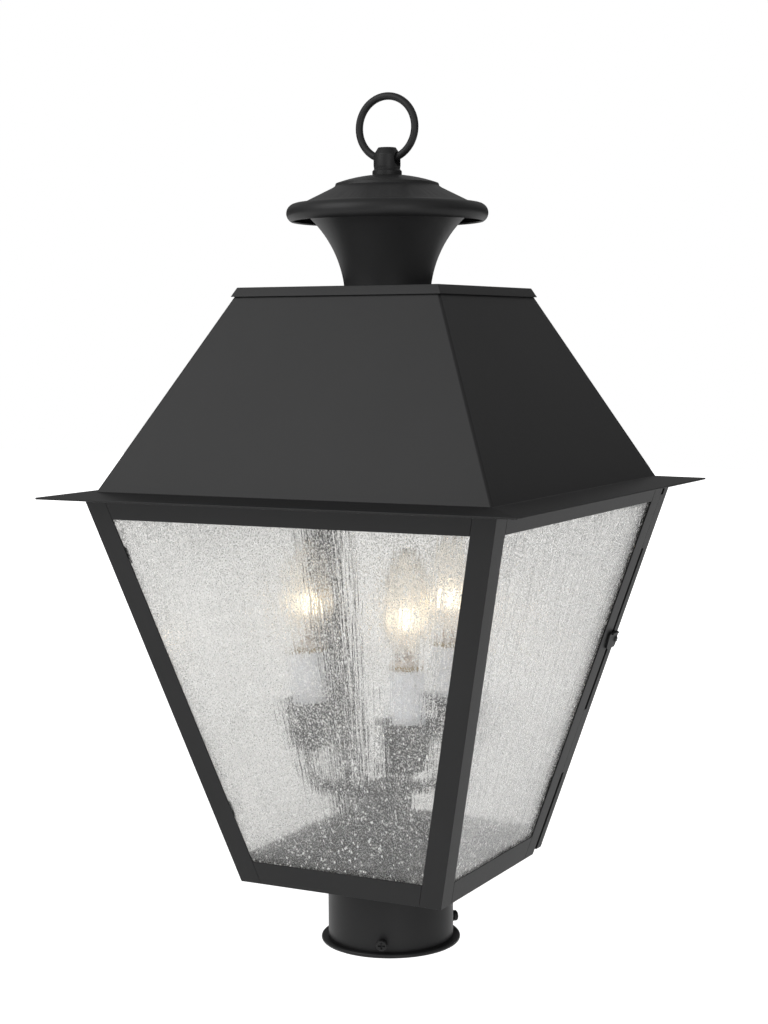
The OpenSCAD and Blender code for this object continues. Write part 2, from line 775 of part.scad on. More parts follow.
// Length along the leaning pin of one unit of height
pin_skew = 1 / cos(corner_lean);

module on_pin(z) {
    translate([-half(z) - pin_out, half(z) + pin_back, z]) rotate([0, 0, 135]) rotate([0, corner_lean, 0]) children();
}
// A knuckle between two shares of a hinge's height
module knuckle(z, from, to) {
    on_pin(z + hinge_h * from) difference() {
        cylinder(h = hinge_h * (to - from) * pin_skew - knuckle_gap, r = knuckle_r);
        translate([0, 0, -1]) cylinder(h = hinge_h * pin_skew, r = pin_r + fit);
    }
}
knuckles = [0, 0.3, 0.7, 1];
// A web of a leaf, from its plate to its knuckle, hollowed for the pin
module leaf_web(z, from, to, y0, y1) {
    z0 = z + hinge_h * from + 0.6;
    z1 = z + hinge_h * to - 0.6;
    difference() {
        intersection() {
            sweep(LEFT, wall(z0, z1, 0.05, leaf_t));
            corner_strip(z0, z1, y0, y1);
        }
        on_pin(z) translate([0, 0, -20]) cylinder(h = hinge_h * 2, r = pin_r + fit);
    }
}
// A band on the left face between two distances behind the cage's back edge
module corner_strip(z0, z1, y0, y1) {
    cutout(LEFT, [
        [-half(z0) - y1, z0], [-half(z0) - y0, z0],
        [-half(z1) - y0, z1], [-half(z1) - y1, z1],
    ]);
}
module leaf_plate(z, y0, y1) {
    intersection() {
        sweep(LEFT, wall(z, z + hinge_h, 0.05, leaf_t));
        corner_strip(z, z + hinge_h, y0, y1);
    }
}

module hinge_leaves_cage() {
    color(steel) for (z = hinge_zs) union() {
        leaf_plate(z, -12, -0.4);
        for (k = [0, 2]) {
            leaf_web(z, knuckles[k], knuckles[k + 1], -1, pin_back);
            knuckle(z, knuckles[k], knuckles[k + 1]);
        }
    }
}

module hinge_leaves_door() {
    color(steel) for (z = hinge_zs) union() {
        leaf_plate(z, pin_back + 2.3, door_out - 0.6);
        leaf_web(z, knuckles[1], knuckles[2], pin_back, pin_back + 3);
        knuckle(z, knuckles[1], knuckles[2]);
    }
}

module hinge_pins() {
    color(steel) for (z = hinge_zs) on_pin(z) {
        translate([0, 0, -1.2]) cylinder(h = 1.2, r = pin_r + 0.8);
        cylinder(h = hinge_h * pin_skew, r = pin_r);
        translate([0, 0, hinge_h * pin_skew]) cylinder(h = 1.2, r = pin_r + 0.8);
    }
}

// ---------------------------------------------------------------- latch
latch_z = cage_z + 143;
latch_t = 1.2;
latch_rivet_r = 1.5;
latch_head_r = 2.3;
latch_head_h = 0.9;
latch_corner = 2.5;
// From the rivet to the plate's edge over the door
latch_over = 2.6;
lip_h = 1.4;

// A place on the right face: behind the cage's back edge, standing off the face
module on_right_face(z, back) {
    rotate([0, 0, 90]) translate([half(z) + back, -half(z), z]) rotate([90 + lean, 0, 0]) children();
}

// The latch's plate, with round corners
module latch_plate() {
    w = latch_reach + latch_over;
    r = latch_corner;
    translate([-latch_reach, -latch_h / 2, 0]) {
        translate([0, r, 0]) cube([w, latch_h - 2 * r, latch_t]);
        translate([r, 0, 0]) cube([w - 2 * r, latch_h, latch_t]);
        for (x = [r, w - r]) for (y = [r, latch_h - r]) translate([x, y, 0]) cylinder(h = latch_t, r = r);
    }
}

module latch() {
    lip_w = latch_reach + latch_over - 2 * latch_corner;
    color(steel) on_right_face(latch_z, door_in + door_depth / 2) difference() {
        translate([0, 0, loose]) union() {
            latch_plate();
            translate([latch_corner - latch_reach, latch_h / 2 - latch_t, latch_t - 0.1])
                cube([lip_w, latch_t, lip_h + 0.1]);
        }
        translate([0, 0, -1]) cylinder(h = latch_t + 3, r = latch_rivet_r + fit);
    }
}

module latch_rivet() {
    head_z = loose + latch_t + fit;
    color(steel) on_right_face(latch_z, door_in + door_depth / 2) {
        translate([0, 0, -door_edge * cos(lean)]) cylinder(h = head_z + door_edge + 0.4, r = latch_rivet_r);
        translate([0, 0, head_z]) cylinder(h = latch_head_h, r1 = latch_head_r, r2 = latch_head_r - 0.7);
    }
}

post_collar();
plate_fasteners();
bottom_plate();
corner_post(FRONT);  // corner_post_front_right
corner_post(RIGHT);  // corner_post_back_right
corner_post(BACK);  // corner_post_back_left
corner_post(LEFT);  // corner_post_front_left
bottom_rail(FRONT);  // bottom_rail_front
bottom_rail(RIGHT);  // bottom_rail_right
bottom_rail(BACK);  // bottom_rail_back
bottom_rail(LEFT);  // bottom_rail_left
top_rail(FRONT);  // top_rail_front
top_rail(RIGHT);  // top_rail_right
top_rail(BACK);  // top_rail_back
top_rail(LEFT);  // top_rail_left
glass(FRONT);  // glass_front
glass(RIGHT);  // glass_right
glass(LEFT);  // glass_left
glass_clips();
roof_panel(FRONT);  // roof_panel_front
roof_panel(RIGHT);  // roof_panel_right
roof_panel(BACK);  // roof_panel_back
roof_panel(LEFT);  // roof_panel_left
roof_pan();
chimney_neck();
chimney_cap();
bridge_bar();
cap_rod();
rod_nuts();
finial();
ring();
cluster_base();
cluster_column();
cluster_hub();
candle_arms();
candle_cups();
candle_sleeves();
bulb_sockets();
bulb_base(0);  // bulb_base_a
bulb_base(1);  // bulb_base_b
bulb_base(2);  // bulb_base_c
bulb_glass(0);  // bulb_glass_a
bulb_glass(1);  // bulb_glass_b
bulb_glass(2);  // bulb_glass_c
hinge_leaves_cage();
hinge_leaves_door();
hinge_pins();
door_stile(1);  // door_stile_hinge
door_stile(-1);  // door_stile_latch
door_rail(door_z1 - top_rail_h, door_z1);  // door_rail_top
door_rail(door_z0, door_z0 + bottom_rail_h);  // door_rail_bottom
glass_door();
door_clips();
latch();
latch_rivet();
set_screw(0);  // set_screw_a
set_screw(1);  // set_screw_b
set_screw(2);  // set_screw_c
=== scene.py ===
"""Finishes a square post-top lantern: satin black painted sheet, seeded drawn glass, three lit candle
bulbs, and the plain studio it stands in. Lengths are metres, +Z is up and the front faces -Y."""

import json
import math

import bmesh
import bpy
from bpy.props import FloatProperty, FloatVectorProperty, PointerProperty
from mathutils import Matrix, Vector, noise
from mathutils.bvhtree import BVHTree


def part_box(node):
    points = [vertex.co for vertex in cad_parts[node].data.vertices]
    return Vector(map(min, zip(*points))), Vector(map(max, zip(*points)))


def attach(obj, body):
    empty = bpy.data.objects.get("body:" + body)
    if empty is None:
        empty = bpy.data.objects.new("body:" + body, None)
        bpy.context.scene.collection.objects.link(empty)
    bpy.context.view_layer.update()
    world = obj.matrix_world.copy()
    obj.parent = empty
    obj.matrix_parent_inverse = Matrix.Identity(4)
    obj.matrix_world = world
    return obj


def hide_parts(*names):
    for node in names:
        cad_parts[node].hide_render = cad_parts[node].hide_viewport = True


bl_info = {
    "name": "Post-top Lantern",
    "version": (1, 0, 0),
    "blender": (4, 5, 0),
    "location": "3D View > Sidebar > Lantern",
    "description": "Paints, glazes and lights a square post-top lantern",
    "category": "Object",
}

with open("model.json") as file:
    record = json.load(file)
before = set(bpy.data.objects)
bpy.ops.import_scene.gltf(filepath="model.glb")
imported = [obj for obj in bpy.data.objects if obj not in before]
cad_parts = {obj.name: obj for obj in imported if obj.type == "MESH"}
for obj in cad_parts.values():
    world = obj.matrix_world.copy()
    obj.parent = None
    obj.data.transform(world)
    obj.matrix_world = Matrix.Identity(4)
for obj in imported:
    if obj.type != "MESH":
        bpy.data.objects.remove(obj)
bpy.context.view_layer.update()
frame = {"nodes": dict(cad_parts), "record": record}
NODES = frame["nodes"]
BODY_OF = {node: body for body, nodes in frame["record"]["behaviour"]["bodies"].items() for node in nodes}

MM = 0.001
WELD = 2e-6
NOISE_RANGE = (0.3, 0.7)
CLEAR_ROUGHNESS = 0.012
TURNED_ANGLE = math.radians(38)
SIDES = ("front", "right", "back", "left")
CANDLES = ("a", "b", "c")

ROOF_PANELS = ["roof_panel_" + side for side in SIDES]
CAGE_SHEET = (
    ["corner_post_" + corner for corner in ("front_right", "back_right", "back_left", "front_left")]
    + ["bottom_rail_" + side for side in SIDES]
    + ["top_rail_" + side for side in SIDES]
)
DOOR_SHEET = ["door_stile_hinge", "door_stile_latch", "door_rail_top", "door_rail_bottom"]
TURNED = ["chimney_cap", "finial", "post_collar"]
CLUSTER = ["cluster_base", "cluster_column", "cluster_hub", "candle_arms", "candle_cups"]

# Coats: brightness, added roughness, gloss share, drift, unevenness, grain share and relief in mm
COATS = {
    "Black powder coat": (1.0, 0.0, 1.0, 0.08, 0.10, 1.0, 0.03),
    "Roof powder coat": (1.0, 0.0, 1.0, 0.06, 0.08, 1.0, 0.03),
    "Spun powder coat": (1.0, -0.03, 1.0, 0.08, 0.10, 0.9, 0.02),
    # The chimney's coat is the same black made 1.7 times lighter and a little glossier: painted light that
    # brightens the dark neck.
    "Chimney coat painted lighter": (1.7, 0.0, 1.2, 0.08, 0.10, 0.9, 0.02),
}

# Inside a bulb, in mm: radii and heights of the glass stem, and the way of a lead wire up to the coil
STEM = ((0, 0.2), (4.6, 0.2), (4.0, 3), (1.9, 7), (1.5, 13), (2.0, 15), (1.2, 16.6), (0, 17))
LEAD = ((1.0, 12), (1.2, 17), (3.0, 20))
LEAD_REACH = 3.2 * MM
COIL_RADIUS = 1.7 * MM
COIL_LENGTH = 13 * MM


# ------------------------------------------------------------------ settings


def length(name, description, default):
    """A length in metres."""
    return FloatProperty(name=name, description=description, default=default, unit="LENGTH")


def share(name, description, default):
    """A number from 0 to 1."""
    return FloatProperty(name=name, description=description, default=default, min=0, max=1)


def amount(name, description, default):
    """A number that can't be negative."""
    return FloatProperty(name=name, description=description, default=default, min=0)


def angle(name, description, degrees):
    """An angle."""
    return FloatProperty(name=name, description=description, default=math.radians(degrees), subtype="ANGLE")


def colour(name, description, default):
    """A colour."""
    return FloatVectorProperty(
        name=name, description=description, default=default, subtype="COLOR", size=3, min=0, max=1,
    )


class LanternPaint(bpy.types.PropertyGroup):
    """The satin black powder coat"""

    colour: colour("Colour", "Colour of the powder coat", (0.0115, 0.0115, 0.0118))
    roughness: share("Roughness", "Roughness of the coat", 0.44)
    gloss: share("Gloss", "Specular level of the coat, where 0.5 is a plain varnish", 0.26)
    grain: length("Grain", "Size of the coat's fine texture", 0.55 * MM)
    edge: length("Sheet edge", "Rounding of the sheet metal's cut edges", 0.42 * MM)
    fold: length("Hip radius", "Outer radius of the roof's hips", 1.8 * MM)


class LanternGlass(bpy.types.PropertyGroup):
    """The drawn, seeded panes"""

    tint: colour("Tint", "Colour of the glass", (0.822, 0.817, 0.807))
    relief: length("Drawn relief", "Depth of the waves drawn down the panes", 0.12 * MM)
    streak: length("Streak width", "Width of one drawn wave", 5.0 * MM)
    wave_width: length("Fine wave width", "Width of the fine waves", 2.2 * MM)
    wave_depth: length("Fine wave depth", "Depth of the fine waves", 0.17 * MM)
    speck_size: length("Speck spacing", "Spacing of the crowd of small seeds", 0.95 * MM)
    speck_depth: length("Speck depth", "Height of a small seed on the face", 0.30 * MM)
    speck_reach: share("Speck reach", "Radius of the largest small seed, as a share of their spacing", 0.52)
    speck_blur: share("Speck blur", "Roughness inside a small seed", 0.42)
    haze: share("Haze", "Share of the light that the clear glass scatters", 0.09)
    seed_haze: share("Seed haze", "Share of the light that a small seed scatters", 0.3)
    seed_size: length("Seed size", "Width of a large seed", 1.25 * MM)
    seeds: amount("Seeds", "Large seeds in each square metre of glass", 70000)
    # seed_colour also colours the opaque seed flakes, whose white is a painted glint.
    seed_colour: colour("Seed colour", "Colour of the light that a seed scatters", (0.97, 0.97, 0.96))


class LanternLight(bpy.types.PropertyGroup):
    """The candle bulbs"""

    glow: colour("Glow", "Colour of the lit filaments", (1.0, 0.82, 0.56))
    filament: amount("Filament", "Strength of the filaments", 11.0)
    envelope: amount("Envelope", "Strength of the glow on the bulbs' glass", 0.29)
    reach: length("Reach", "How far the glow reaches up and down a bulb", 9.5 * MM)
    sleeve: colour("Sleeve", "Colour of the candle sleeves", (0.86, 0.87, 0.91))
    # sleeve_glow is a painted glow on the sleeve, standing in for the bulb's light that shines through it.
    sleeve_glow: amount("Sleeve glow", "Strength of the bulb's light that shines through a sleeve", 0.09)


class LanternStudio(bpy.types.PropertyGroup):
    """The floor, the lamps and the camera"""

    turn: angle("Camera turn", "Camera's turn round the lantern, from the front", 27.39)
    rise: angle("Camera rise", "Camera's angle over the horizon", 5.2)
    roll: angle("Camera roll", "Camera's tilt about its own axis", -0.29)
    distance: length("Camera distance", "Distance to the point looked at", 1.24735)
    height: length("Height looked at", "Height of the point looked at", 0.2814)
    lens: amount("Lens", "Focal length in millimetres", 67.86)
    shift: FloatProperty(name="Shift", description="Sideways shift of the picture", default=-0.0047)
    floor_reach: length("Floor reach", "Distance from the middle to the floor's edge", 6.0)
    floor_drop: length(
        "Floor drop", "How far the floor lies under the collar, which leaves room for the open door's low corner",
        0.12,
    )
    key: amount("Key", "Power of the large lamp at the front left", 16.0)
    fill: amount("Fill", "Power of the lamp at the front right", 8.0)
    room: amount("Room", "Light from the room overhead", 0.36)
    horizon: amount("Horizon", "Light from low at the back", 0.06)
    front: amount("Front", "Light from the room in front", 0.55)
    glow: amount("Floor light", "Light that the floor gives off", 0.3)


SETTINGS = (
    ("lantern_paint", LanternPaint),
    ("lantern_glass", LanternGlass),
    ("lantern_light", LanternLight),
    ("lantern_studio", LanternStudio),
)


# ------------------------------------------------------------------ node trees


def feed(tree, node, inputs):
    """Sets a node's inputs, each to a value or to another node's output."""
    for key, value in inputs.items():
        if isinstance(value, bpy.types.NodeSocket):
            tree.links.new(value, node.inputs[key])
        else:
            node.inputs[key].default_value = value
    return node


def add(tree, kind, inputs=None, **settings):
    """Adds a node, and sets its properties and then its inputs."""
    made = tree.nodes.new(kind)
    for key, value in settings.items():
        setattr(made, key, value)
    return feed(tree, made, inputs or {})


def maths(tree, operation, a, b=0.0):
    """One sum, done by a node."""
    return add(tree, "ShaderNodeMath", {0: a, 1: b}, operation=operation).outputs[0]


def product(tree, first, *others):
    """The product of some values."""
    for other in others:
        first = maths(tree, "MULTIPLY", first, other)
    return first


def spread(tree, value, low, high, to_low=0.0, to_high=1.0):
    """Maps a value from one range to another, and clamps it."""
    return add(
        tree, "ShaderNodeMapRange",
        {"Value": value, "From Min": low, "From Max": high, "To Min": to_low, "To Max": to_high},
    ).outputs[0]


def vary(tree, noise_value, to_low=0.0, to_high=1.0):
    """Maps a noise, from the range where most of it lies."""
    return spread(tree, noise_value, *NOISE_RANGE, to_low, to_high)


def blend(tree, share, a, b):
    """Mixes two colours."""
    return add(tree, "ShaderNodeMix", {0: share, 6: a, 7: b}, data_type="RGBA").outputs[2]


def scaled(tree, place, scale):
    """A place with each of its axes scaled."""
    return add(tree, "ShaderNodeVectorMath", {0: place, 1: scale}, operation="MULTIPLY").outputs[0]


def grain_of(tree, place, size, detail=2.0, rough=0.5, scale=(1, 1, 1)):
    """A noise whose lumps are about that size."""
    return add(
        tree, "ShaderNodeTexNoise",
        {"Vector": scaled(tree, place, scale), "Scale": 1.0 / size, "Detail": detail, "Roughness": rough},
    ).outputs["Fac"]


def group(name, inputs, outputs, kind="ShaderNodeTree"):
    """A new node group with those sockets: its tree, its input sockets and its output node."""
    tree = bpy.data.node_groups.new(name, kind)
    for label, socket_kind, value in inputs:
        socket = tree.interface.new_socket(label, in_out="INPUT", socket_type="NodeSocket" + socket_kind)
        if value is not None:
            socket.default_value = value
    for label, socket_kind in outputs:
        tree.interface.new_socket(label, in_out="OUTPUT", socket_type="NodeSocket" + socket_kind)
    return tree, tree.nodes.new("NodeGroupInput").outputs, tree.nodes.new("NodeGroupOutput")


def finish_group():
    """Group: the look of a sprayed or moulded skin. Its colour drifts a little, its sheen is uneven, and
    its height is a fine grain over a long, low ripple."""
    tree, given, out = group(
        "Sprayed skin",
        [
            ("Vector", "Vector", None), ("Colour", "Color", (0.5, 0.5, 0.5, 1)), ("Drift", "Float", 0.1),
            ("Roughness", "Float", 0.5), ("Unevenness", "Float", 0.1), ("Grain scale", "Float", 1000.0),
        ],
        [("Colour", "Color"), ("Roughness", "Float"), ("Height", "Float")],
    )
    patches = grain_of(tree, given["Vector"], 45 * MM, 3.0)
    specks = add(
        tree, "ShaderNodeTexNoise", {"Vector": given["Vector"], "Scale": given["Grain scale"], "Detail": 2.0},
    ).outputs["Fac"]
    ripple = grain_of(tree, given["Vector"], 4 * MM, 1.0)
    brighter = maths(tree, "ADD", 1.0, product(tree, vary(tree, patches, -1.0, 1.0), given["Drift"]))
    tinted = add(tree, "ShaderNodeVectorMath", {0: given["Colour"], "Scale": brighter}, operation="SCALE")
    uneven = product(tree, maths(tree, "SUBTRACT", specks, 0.5), given["Unevenness"])
    feed(tree, out, {
        "Colour": tinted.outputs[0],
        "Roughness": maths(tree, "ADD", given["Roughness"], uneven),
        "Height": maths(tree, "ADD", specks, product(tree, ripple, 0.8)),
    })


def seed_group():
    """Group: the height of seeded, drawn glass. Round-edged seeds crowd together in places, and long waves
    run down the pane. It reads the pane's own map, in metres across and up."""
    tree, given, out = group(
        "Seeded glass",
        [
            ("Vector", "Vector", None), ("Seed scale", "Float", 1000.0), ("Seed reach", "Float", 0.4),
            ("Seeds", "Float", 1.0), ("Wave scale", "Float", 250.0), ("Waves", "Float", 1.0),
        ],
        [("Height", "Float"), ("Seed", "Float")],
    )
    drawn = scaled(tree, given["Vector"], (1.0, 0.07, 1.0))
    crowd = spread(tree, grain_of(tree, drawn, 6 * MM, 3.0, 0.6), 0.36, 0.64, 0.55, 1.0)
    cells = add(
        tree, "ShaderNodeTexVoronoi",
        {"Vector": scaled(tree, given["Vector"], (1.0, 0.6, 1.0)), "Scale": given["Seed scale"]},
        voronoi_dimensions="2D",
    )
    lot = add(tree, "ShaderNodeSeparateColor", {0: cells.outputs["Color"]}).outputs[0]
    reach = product(tree, lot, crowd, given["Seed reach"])
    nearness = maths(tree, "SUBTRACT", 1.0, maths(tree, "DIVIDE", cells.outputs["Distance"], reach))
    dome = maths(tree, "POWER", maths(tree, "MAXIMUM", nearness, 0.0), 0.6)
    waves = add(
        tree, "ShaderNodeTexNoise",
        {"Vector": drawn, "Scale": given["Wave scale"], "Detail": 2.0, "Roughness": 0.5},
    ).outputs["Fac"]
    seeds = product(tree, dome, reach, given["Seeds"])
    feed(tree, out, {
        "Height": maths(tree, "ADD", seeds, product(tree, waves, given["Waves"])),
        "Seed": spread(tree, nearness, 0.0, 0.35),
    })


def new_material(name):
    """An empty material: its tree, its Principled shader and its output."""
    material = bpy.data.materials.new(name)
    material.use_nodes = True
    tree = material.node_tree
    tree.nodes.clear()
    shader = tree.nodes.new("ShaderNodeBsdfPrincipled")
    out = add(tree, "ShaderNodeOutputMaterial", {"Surface": shader.outputs[0]})
    return material, tree, shader, out


def shader_of(material):
    """A finished material's tree and its Principled shader."""
    tree = material.node_tree
    return tree, next(node for node in tree.nodes if node.type == "BSDF_PRINCIPLED")


def place_of(tree, output="Object"):
    """The place on the piece, or another of its coordinates."""
    return tree.nodes.new("ShaderNodeTexCoord").outputs[output]


def height_of(tree):
    """The height on the piece."""
    return add(tree, "ShaderNodeSeparateXYZ", {0: place_of(tree)}).outputs["Z"]


def relief_normal(tree, height, depth):
    """The normal of a relief. depth is its depth in metres."""
    return add(tree, "ShaderNodeBump", {"Height": height, "Distance": depth, "Strength": 1.0}).outputs["Normal"]


def sprayed(name, colour, roughness, gloss, drift, uneven, grain, depth):
    """A material with the sprayed skin's group in it."""
    material, tree, shader, _ = new_material(name)
    skin = add(
        tree, "ShaderNodeGroup",
        {
            "Vector": place_of(tree), "Colour": (*colour, 1), "Drift": drift, "Roughness": roughness,
            "Unevenness": uneven, "Grain scale": 1.0 / grain,
        },
        node_tree=bpy.data.node_groups["Sprayed skin"],
    ).outputs
    feed(tree, shader, {
        "Base Color": skin["Colour"], "Roughness": skin["Roughness"], "Specular IOR Level": gloss,
        "Normal": relief_normal(tree, skin["Height"], depth),
    })
    return material


def let_lamps_through(tree, shader, out):
    """Lets light from lamps pass the glass straight, so that it reaches what is behind."""
    path = tree.nodes.new("ShaderNodeLightPath")
    clear = add(tree, "ShaderNodeBsdfTransparent", {"Color": (0.93, 0.93, 0.93, 1)})
    shares = {0: path.outputs["Is Shadow Ray"], 1: shader.outputs[0], 2: clear.outputs[0]}
    feed(tree, out, {"Surface": add(tree, "ShaderNodeMixShader", shares).outputs[0]})


def pane_material(glass):
    """The panes' drawn glass with its crowd of fine seeds, which scatter some of the light."""
    _, tree, shader, out = new_material("Seeded glass")
    relief = add(
        tree, "ShaderNodeGroup",
        {
            "Vector": place_of(tree, "UV"), "Seed scale": 1.0 / glass.speck_size,
            "Seed reach": glass.speck_reach, "Seeds": glass.speck_depth / glass.wave_depth,
            "Wave scale": 1.0 / glass.wave_width,
        },
        node_tree=bpy.data.node_groups["Seeded glass"],
    ).outputs
    seed = relief["Seed"]
    feed(tree, shader, {
        "Transmission Weight": 1.0, "IOR": 1.5,
        "Base Color": blend(tree, seed, (*glass.tint, 1), (*glass.seed_colour, 1)),
        "Roughness": spread(tree, seed, 0.0, 1.0, CLEAR_ROUGHNESS, glass.speck_blur),
        "Normal": relief_normal(tree, relief["Height"], glass.wave_depth),
    })
    milk = add(tree, "ShaderNodeBsdfTranslucent", {"Color": (*glass.seed_colour, 1)})
    share = spread(tree, seed, 0.0, 1.0, glass.haze, glass.seed_haze)
    hazed = add(tree, "ShaderNodeMixShader", {0: share, 1: shader.outputs[0], 2: milk.outputs[0]})
    let_lamps_through(tree, hazed, out)


def seed_material(glass):
    """The large seeds, as tiny flakes in the glass: their rough white skins are a painted glint, standing in for
    the light that real bubbles catch.
    """
    _, tree, shader, _ = new_material("Seed glint paint")
    skin = grain_of(tree, place_of(tree), 3 * MM, 2.0)
    duller = tuple(c * 0.9 for c in glass.seed_colour)
    feed(tree, shader, {
        "Base Color": blend(tree, vary(tree, skin), (*duller, 1), (*glass.seed_colour, 1)),
        "Roughness": vary(tree, skin, 0.25, 0.45), "Specular IOR Level": 0.6,
    })


def bulb_material(light, centre):
    """Bulb glass that glows softly round the filament. centre is the filament's middle."""
    material, tree, shader, out = new_material("Bulb glass")
    ripple = grain_of(tree, place_of(tree), 4 * MM, 2.0)
    away = maths(tree, "DIVIDE", maths(tree, "SUBTRACT", height_of(tree), centre), light.reach)
    fade = maths(tree, "EXPONENT", product(tree, away, away, -1.0))
    facing = tree.nodes.new("ShaderNodeLayerWeight").outputs["Facing"]
    core = maths(tree, "POWER", maths(tree, "SUBTRACT", 1.0, facing), 3.0)
    feed(tree, shader, {
        "Base Color": (1.0, 0.97, 0.92, 1), "Transmission Weight": 1.0, "IOR": 1.45,
        "Roughness": vary(tree, ripple, 0.02, 0.07), "Normal": relief_normal(tree, ripple, 0.15 * MM),
        "Emission Strength": product(tree, fade, core, light.envelope),
        "Emission Color": (*light.glow, 1),
    })
    let_lamps_through(tree, shader, out)
    return material


def plain_glass():
    """The clear glass of a bulb's stem."""
    _, tree, shader, out = new_material("Stem glass")
    feed(tree, shader, {
        "Base Color": (1.0, 0.88, 0.80, 1), "Transmission Weight": 1.0, "IOR": 1.5,
        "Roughness": vary(tree, grain_of(tree, place_of(tree), 2 * MM), 0.08, 0.2),
    })
    let_lamps_through(tree, shader, out)


def glow_material(light):
    """The lit filament, a little cooler in places."""
    _, tree, shader, _ = new_material("Filament")
    heat = vary(tree, grain_of(tree, place_of(tree), 1.5 * MM), 0.75, 1.0)
    cooler = tuple(c * 0.6 for c in light.glow)
    feed(tree, shader, {
        "Base Color": (0.2, 0.15, 0.1, 1), "Emission Strength": light.filament,
        "Emission Color": blend(tree, heat, (*cooler, 1), (*light.glow, 1)),
    })


def sleeve_material(light):
    """Moulded sleeve, a little translucent, with a faint grain and a painted glow: an emission that stands in for
    the bulb's light shining through it.
    """
    tree, shader = shader_of(
        sprayed("Candle sleeve", light.sleeve, 0.5, 0.5, 0.03, 0.12, 1.2 * MM, 0.02 * MM)
    )
    feed(tree, shader, {
        "Subsurface Weight": 0.15, "Subsurface Radius": (4 * MM, 3 * MM, 2.5 * MM), "Subsurface Scale": 1.0,
        # Painted glow: the sleeve gives off some of its own colour as light.
        "Emission Color": shader.inputs["Base Color"].links[0].from_socket,
        "Emission Strength": light.sleeve_glow,
    })


def metal_material(name, colour, roughness, brush):
    """Bare or plated metal with fine scratches along one axis."""
    material, tree, shader, _ = new_material(name)
    place = place_of(tree)
    scratches = grain_of(tree, place, 0.4 * MM, 2.0, 0.6, brush)
    tarnish = spread(tree, grain_of(tree, place, 6 * MM, 3.0), 0.35, 0.7)
    darker = tuple(c * 0.72 for c in colour)
    feed(tree, shader, {
        "Base Color": blend(tree, tarnish, (*colour, 1), (*darker, 1)), "Metallic": 1.0,
        "Roughness": vary(tree, scratches, roughness - 0.07, roughness + 0.1),
        "Normal": relief_normal(tree, scratches, 0.02 * MM),
    })
    return material


def brass_material(name):
    """Brass, as on the sockets and the bulbs' threads."""
    return metal_material(name, (0.46, 0.36, 0.20), 0.38, (1, 1, 0.1))


def foot_material(edge):
    """A bulb's foot: a brass thread, and above that height a pale ceramic shoulder."""
    material = brass_material("Bulb foot")
    tree, shader = shader_of(material)
    pale = spread(tree, height_of(tree), edge - 0.1 * MM, edge + 0.1 * MM)
    brass = shader.inputs["Base Color"].links[0].from_socket
    feed(tree, shader, {
        "Base Color": blend(tree, pale, brass, (0.86, 0.76, 0.68, 1)),
        "Metallic": maths(tree, "SUBTRACT", 1.0, pale),
    })
    return material


# ------------------------------------------------------------------ meshes


def as_object(name, mesh):
    """A linked object for a bmesh or a mesh, named and at the origin."""
    if isinstance(mesh, bmesh.types.BMesh):
        data = bpy.data.meshes.new(name)
        mesh.to_mesh(data)
        mesh.free()
        mesh = data
    mesh.name = name
    made = bpy.data.objects.new(name, mesh)
    bpy.context.scene.collection.objects.link(made)
    return made


def bake_modifiers(piece):
    """Applies a piece's modifiers and takes them off."""
    bpy.context.view_layer.update()
    seen = piece.evaluated_get(bpy.context.evaluated_depsgraph_get())
    mesh = bpy.data.meshes.new_from_object(seen)
    piece.modifiers.clear()
    piece.data = mesh
    mesh.name = piece.name
    return piece


def bevel(piece, width, segments, angle):
    """Adds a modifier that rounds the edges sharper than an angle."""
    edges = piece.modifiers.new("Rounded edges", "BEVEL")
    edges.width = width
    edges.segments = segments
    edges.limit_method = "ANGLE"
    edges.angle_limit = angle
    return edges


def smooth(piece, angle=math.radians(32)):
    """Shades smoothly, with crisp edges past an angle and flat faces kept flat."""
    piece.data.shade_smooth()
    mesh = bmesh.new()
    mesh.from_mesh(piece.data)
    for edge in mesh.edges:
        edge.smooth = len(edge.link_faces) == 2 and edge.calc_face_angle(0.0) < angle
    mesh.to_mesh(piece.data)
    mesh.free()
    normals = piece.modifiers.new("Flat faces stay flat", "WEIGHTED_NORMAL")
    normals.keep_sharp = True
    normals.weight = 100
    return bake_modifiers(piece)


def paint(piece, material, body):
    """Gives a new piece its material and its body."""
    piece.data.materials.clear()
    piece.data.materials.append(material)
    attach(piece, body)
    return piece


def welded(node):
    """A welded copy of a CAD node's mesh, its flat faces whole again."""
    mesh = bmesh.new()
    mesh.from_mesh(NODES[node].data)
    bmesh.ops.remove_doubles(mesh, verts=mesh.verts, dist=WELD)
    bmesh.ops.dissolve_limit(mesh, angle_limit=math.radians(0.4), verts=mesh.verts, edges=mesh.edges)
    return mesh


def softened(node, material, width, angle=math.radians(30), segments=2):
    """Stands a copy of a CAD node in for it, with its sharp edges rounded."""
    piece = as_object(node + "_finished", welded(node))
    if width:
        bevel(piece, width, segments, angle).miter_outer = "MITER_ARC"
        bake_modifiers(piece)
    smooth(piece)
    paint(piece, material, BODY_OF[node])
    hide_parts(node)
    return piece


def repaint(node, material):
    """Gives a CAD node a better material."""
    NODES[node].data.materials.clear()
    NODES[node].data.materials.append(material)


def join_rings(mesh, rings, nexts):
    """Joins each ring of points to the next one with faces, and turns the faces outwards."""
    for low, high in zip(rings, nexts):
        count = len(low)
        for k in range(count):
            corners = [low[k], low[(k + 1) % count], high[(k + 1) % count], high[k]]
            face = list(dict.fromkeys(corners))
            if len(face) > 2:
                mesh.faces.new(face)
    bmesh.ops.recalc_face_normals(mesh, faces=mesh.faces)


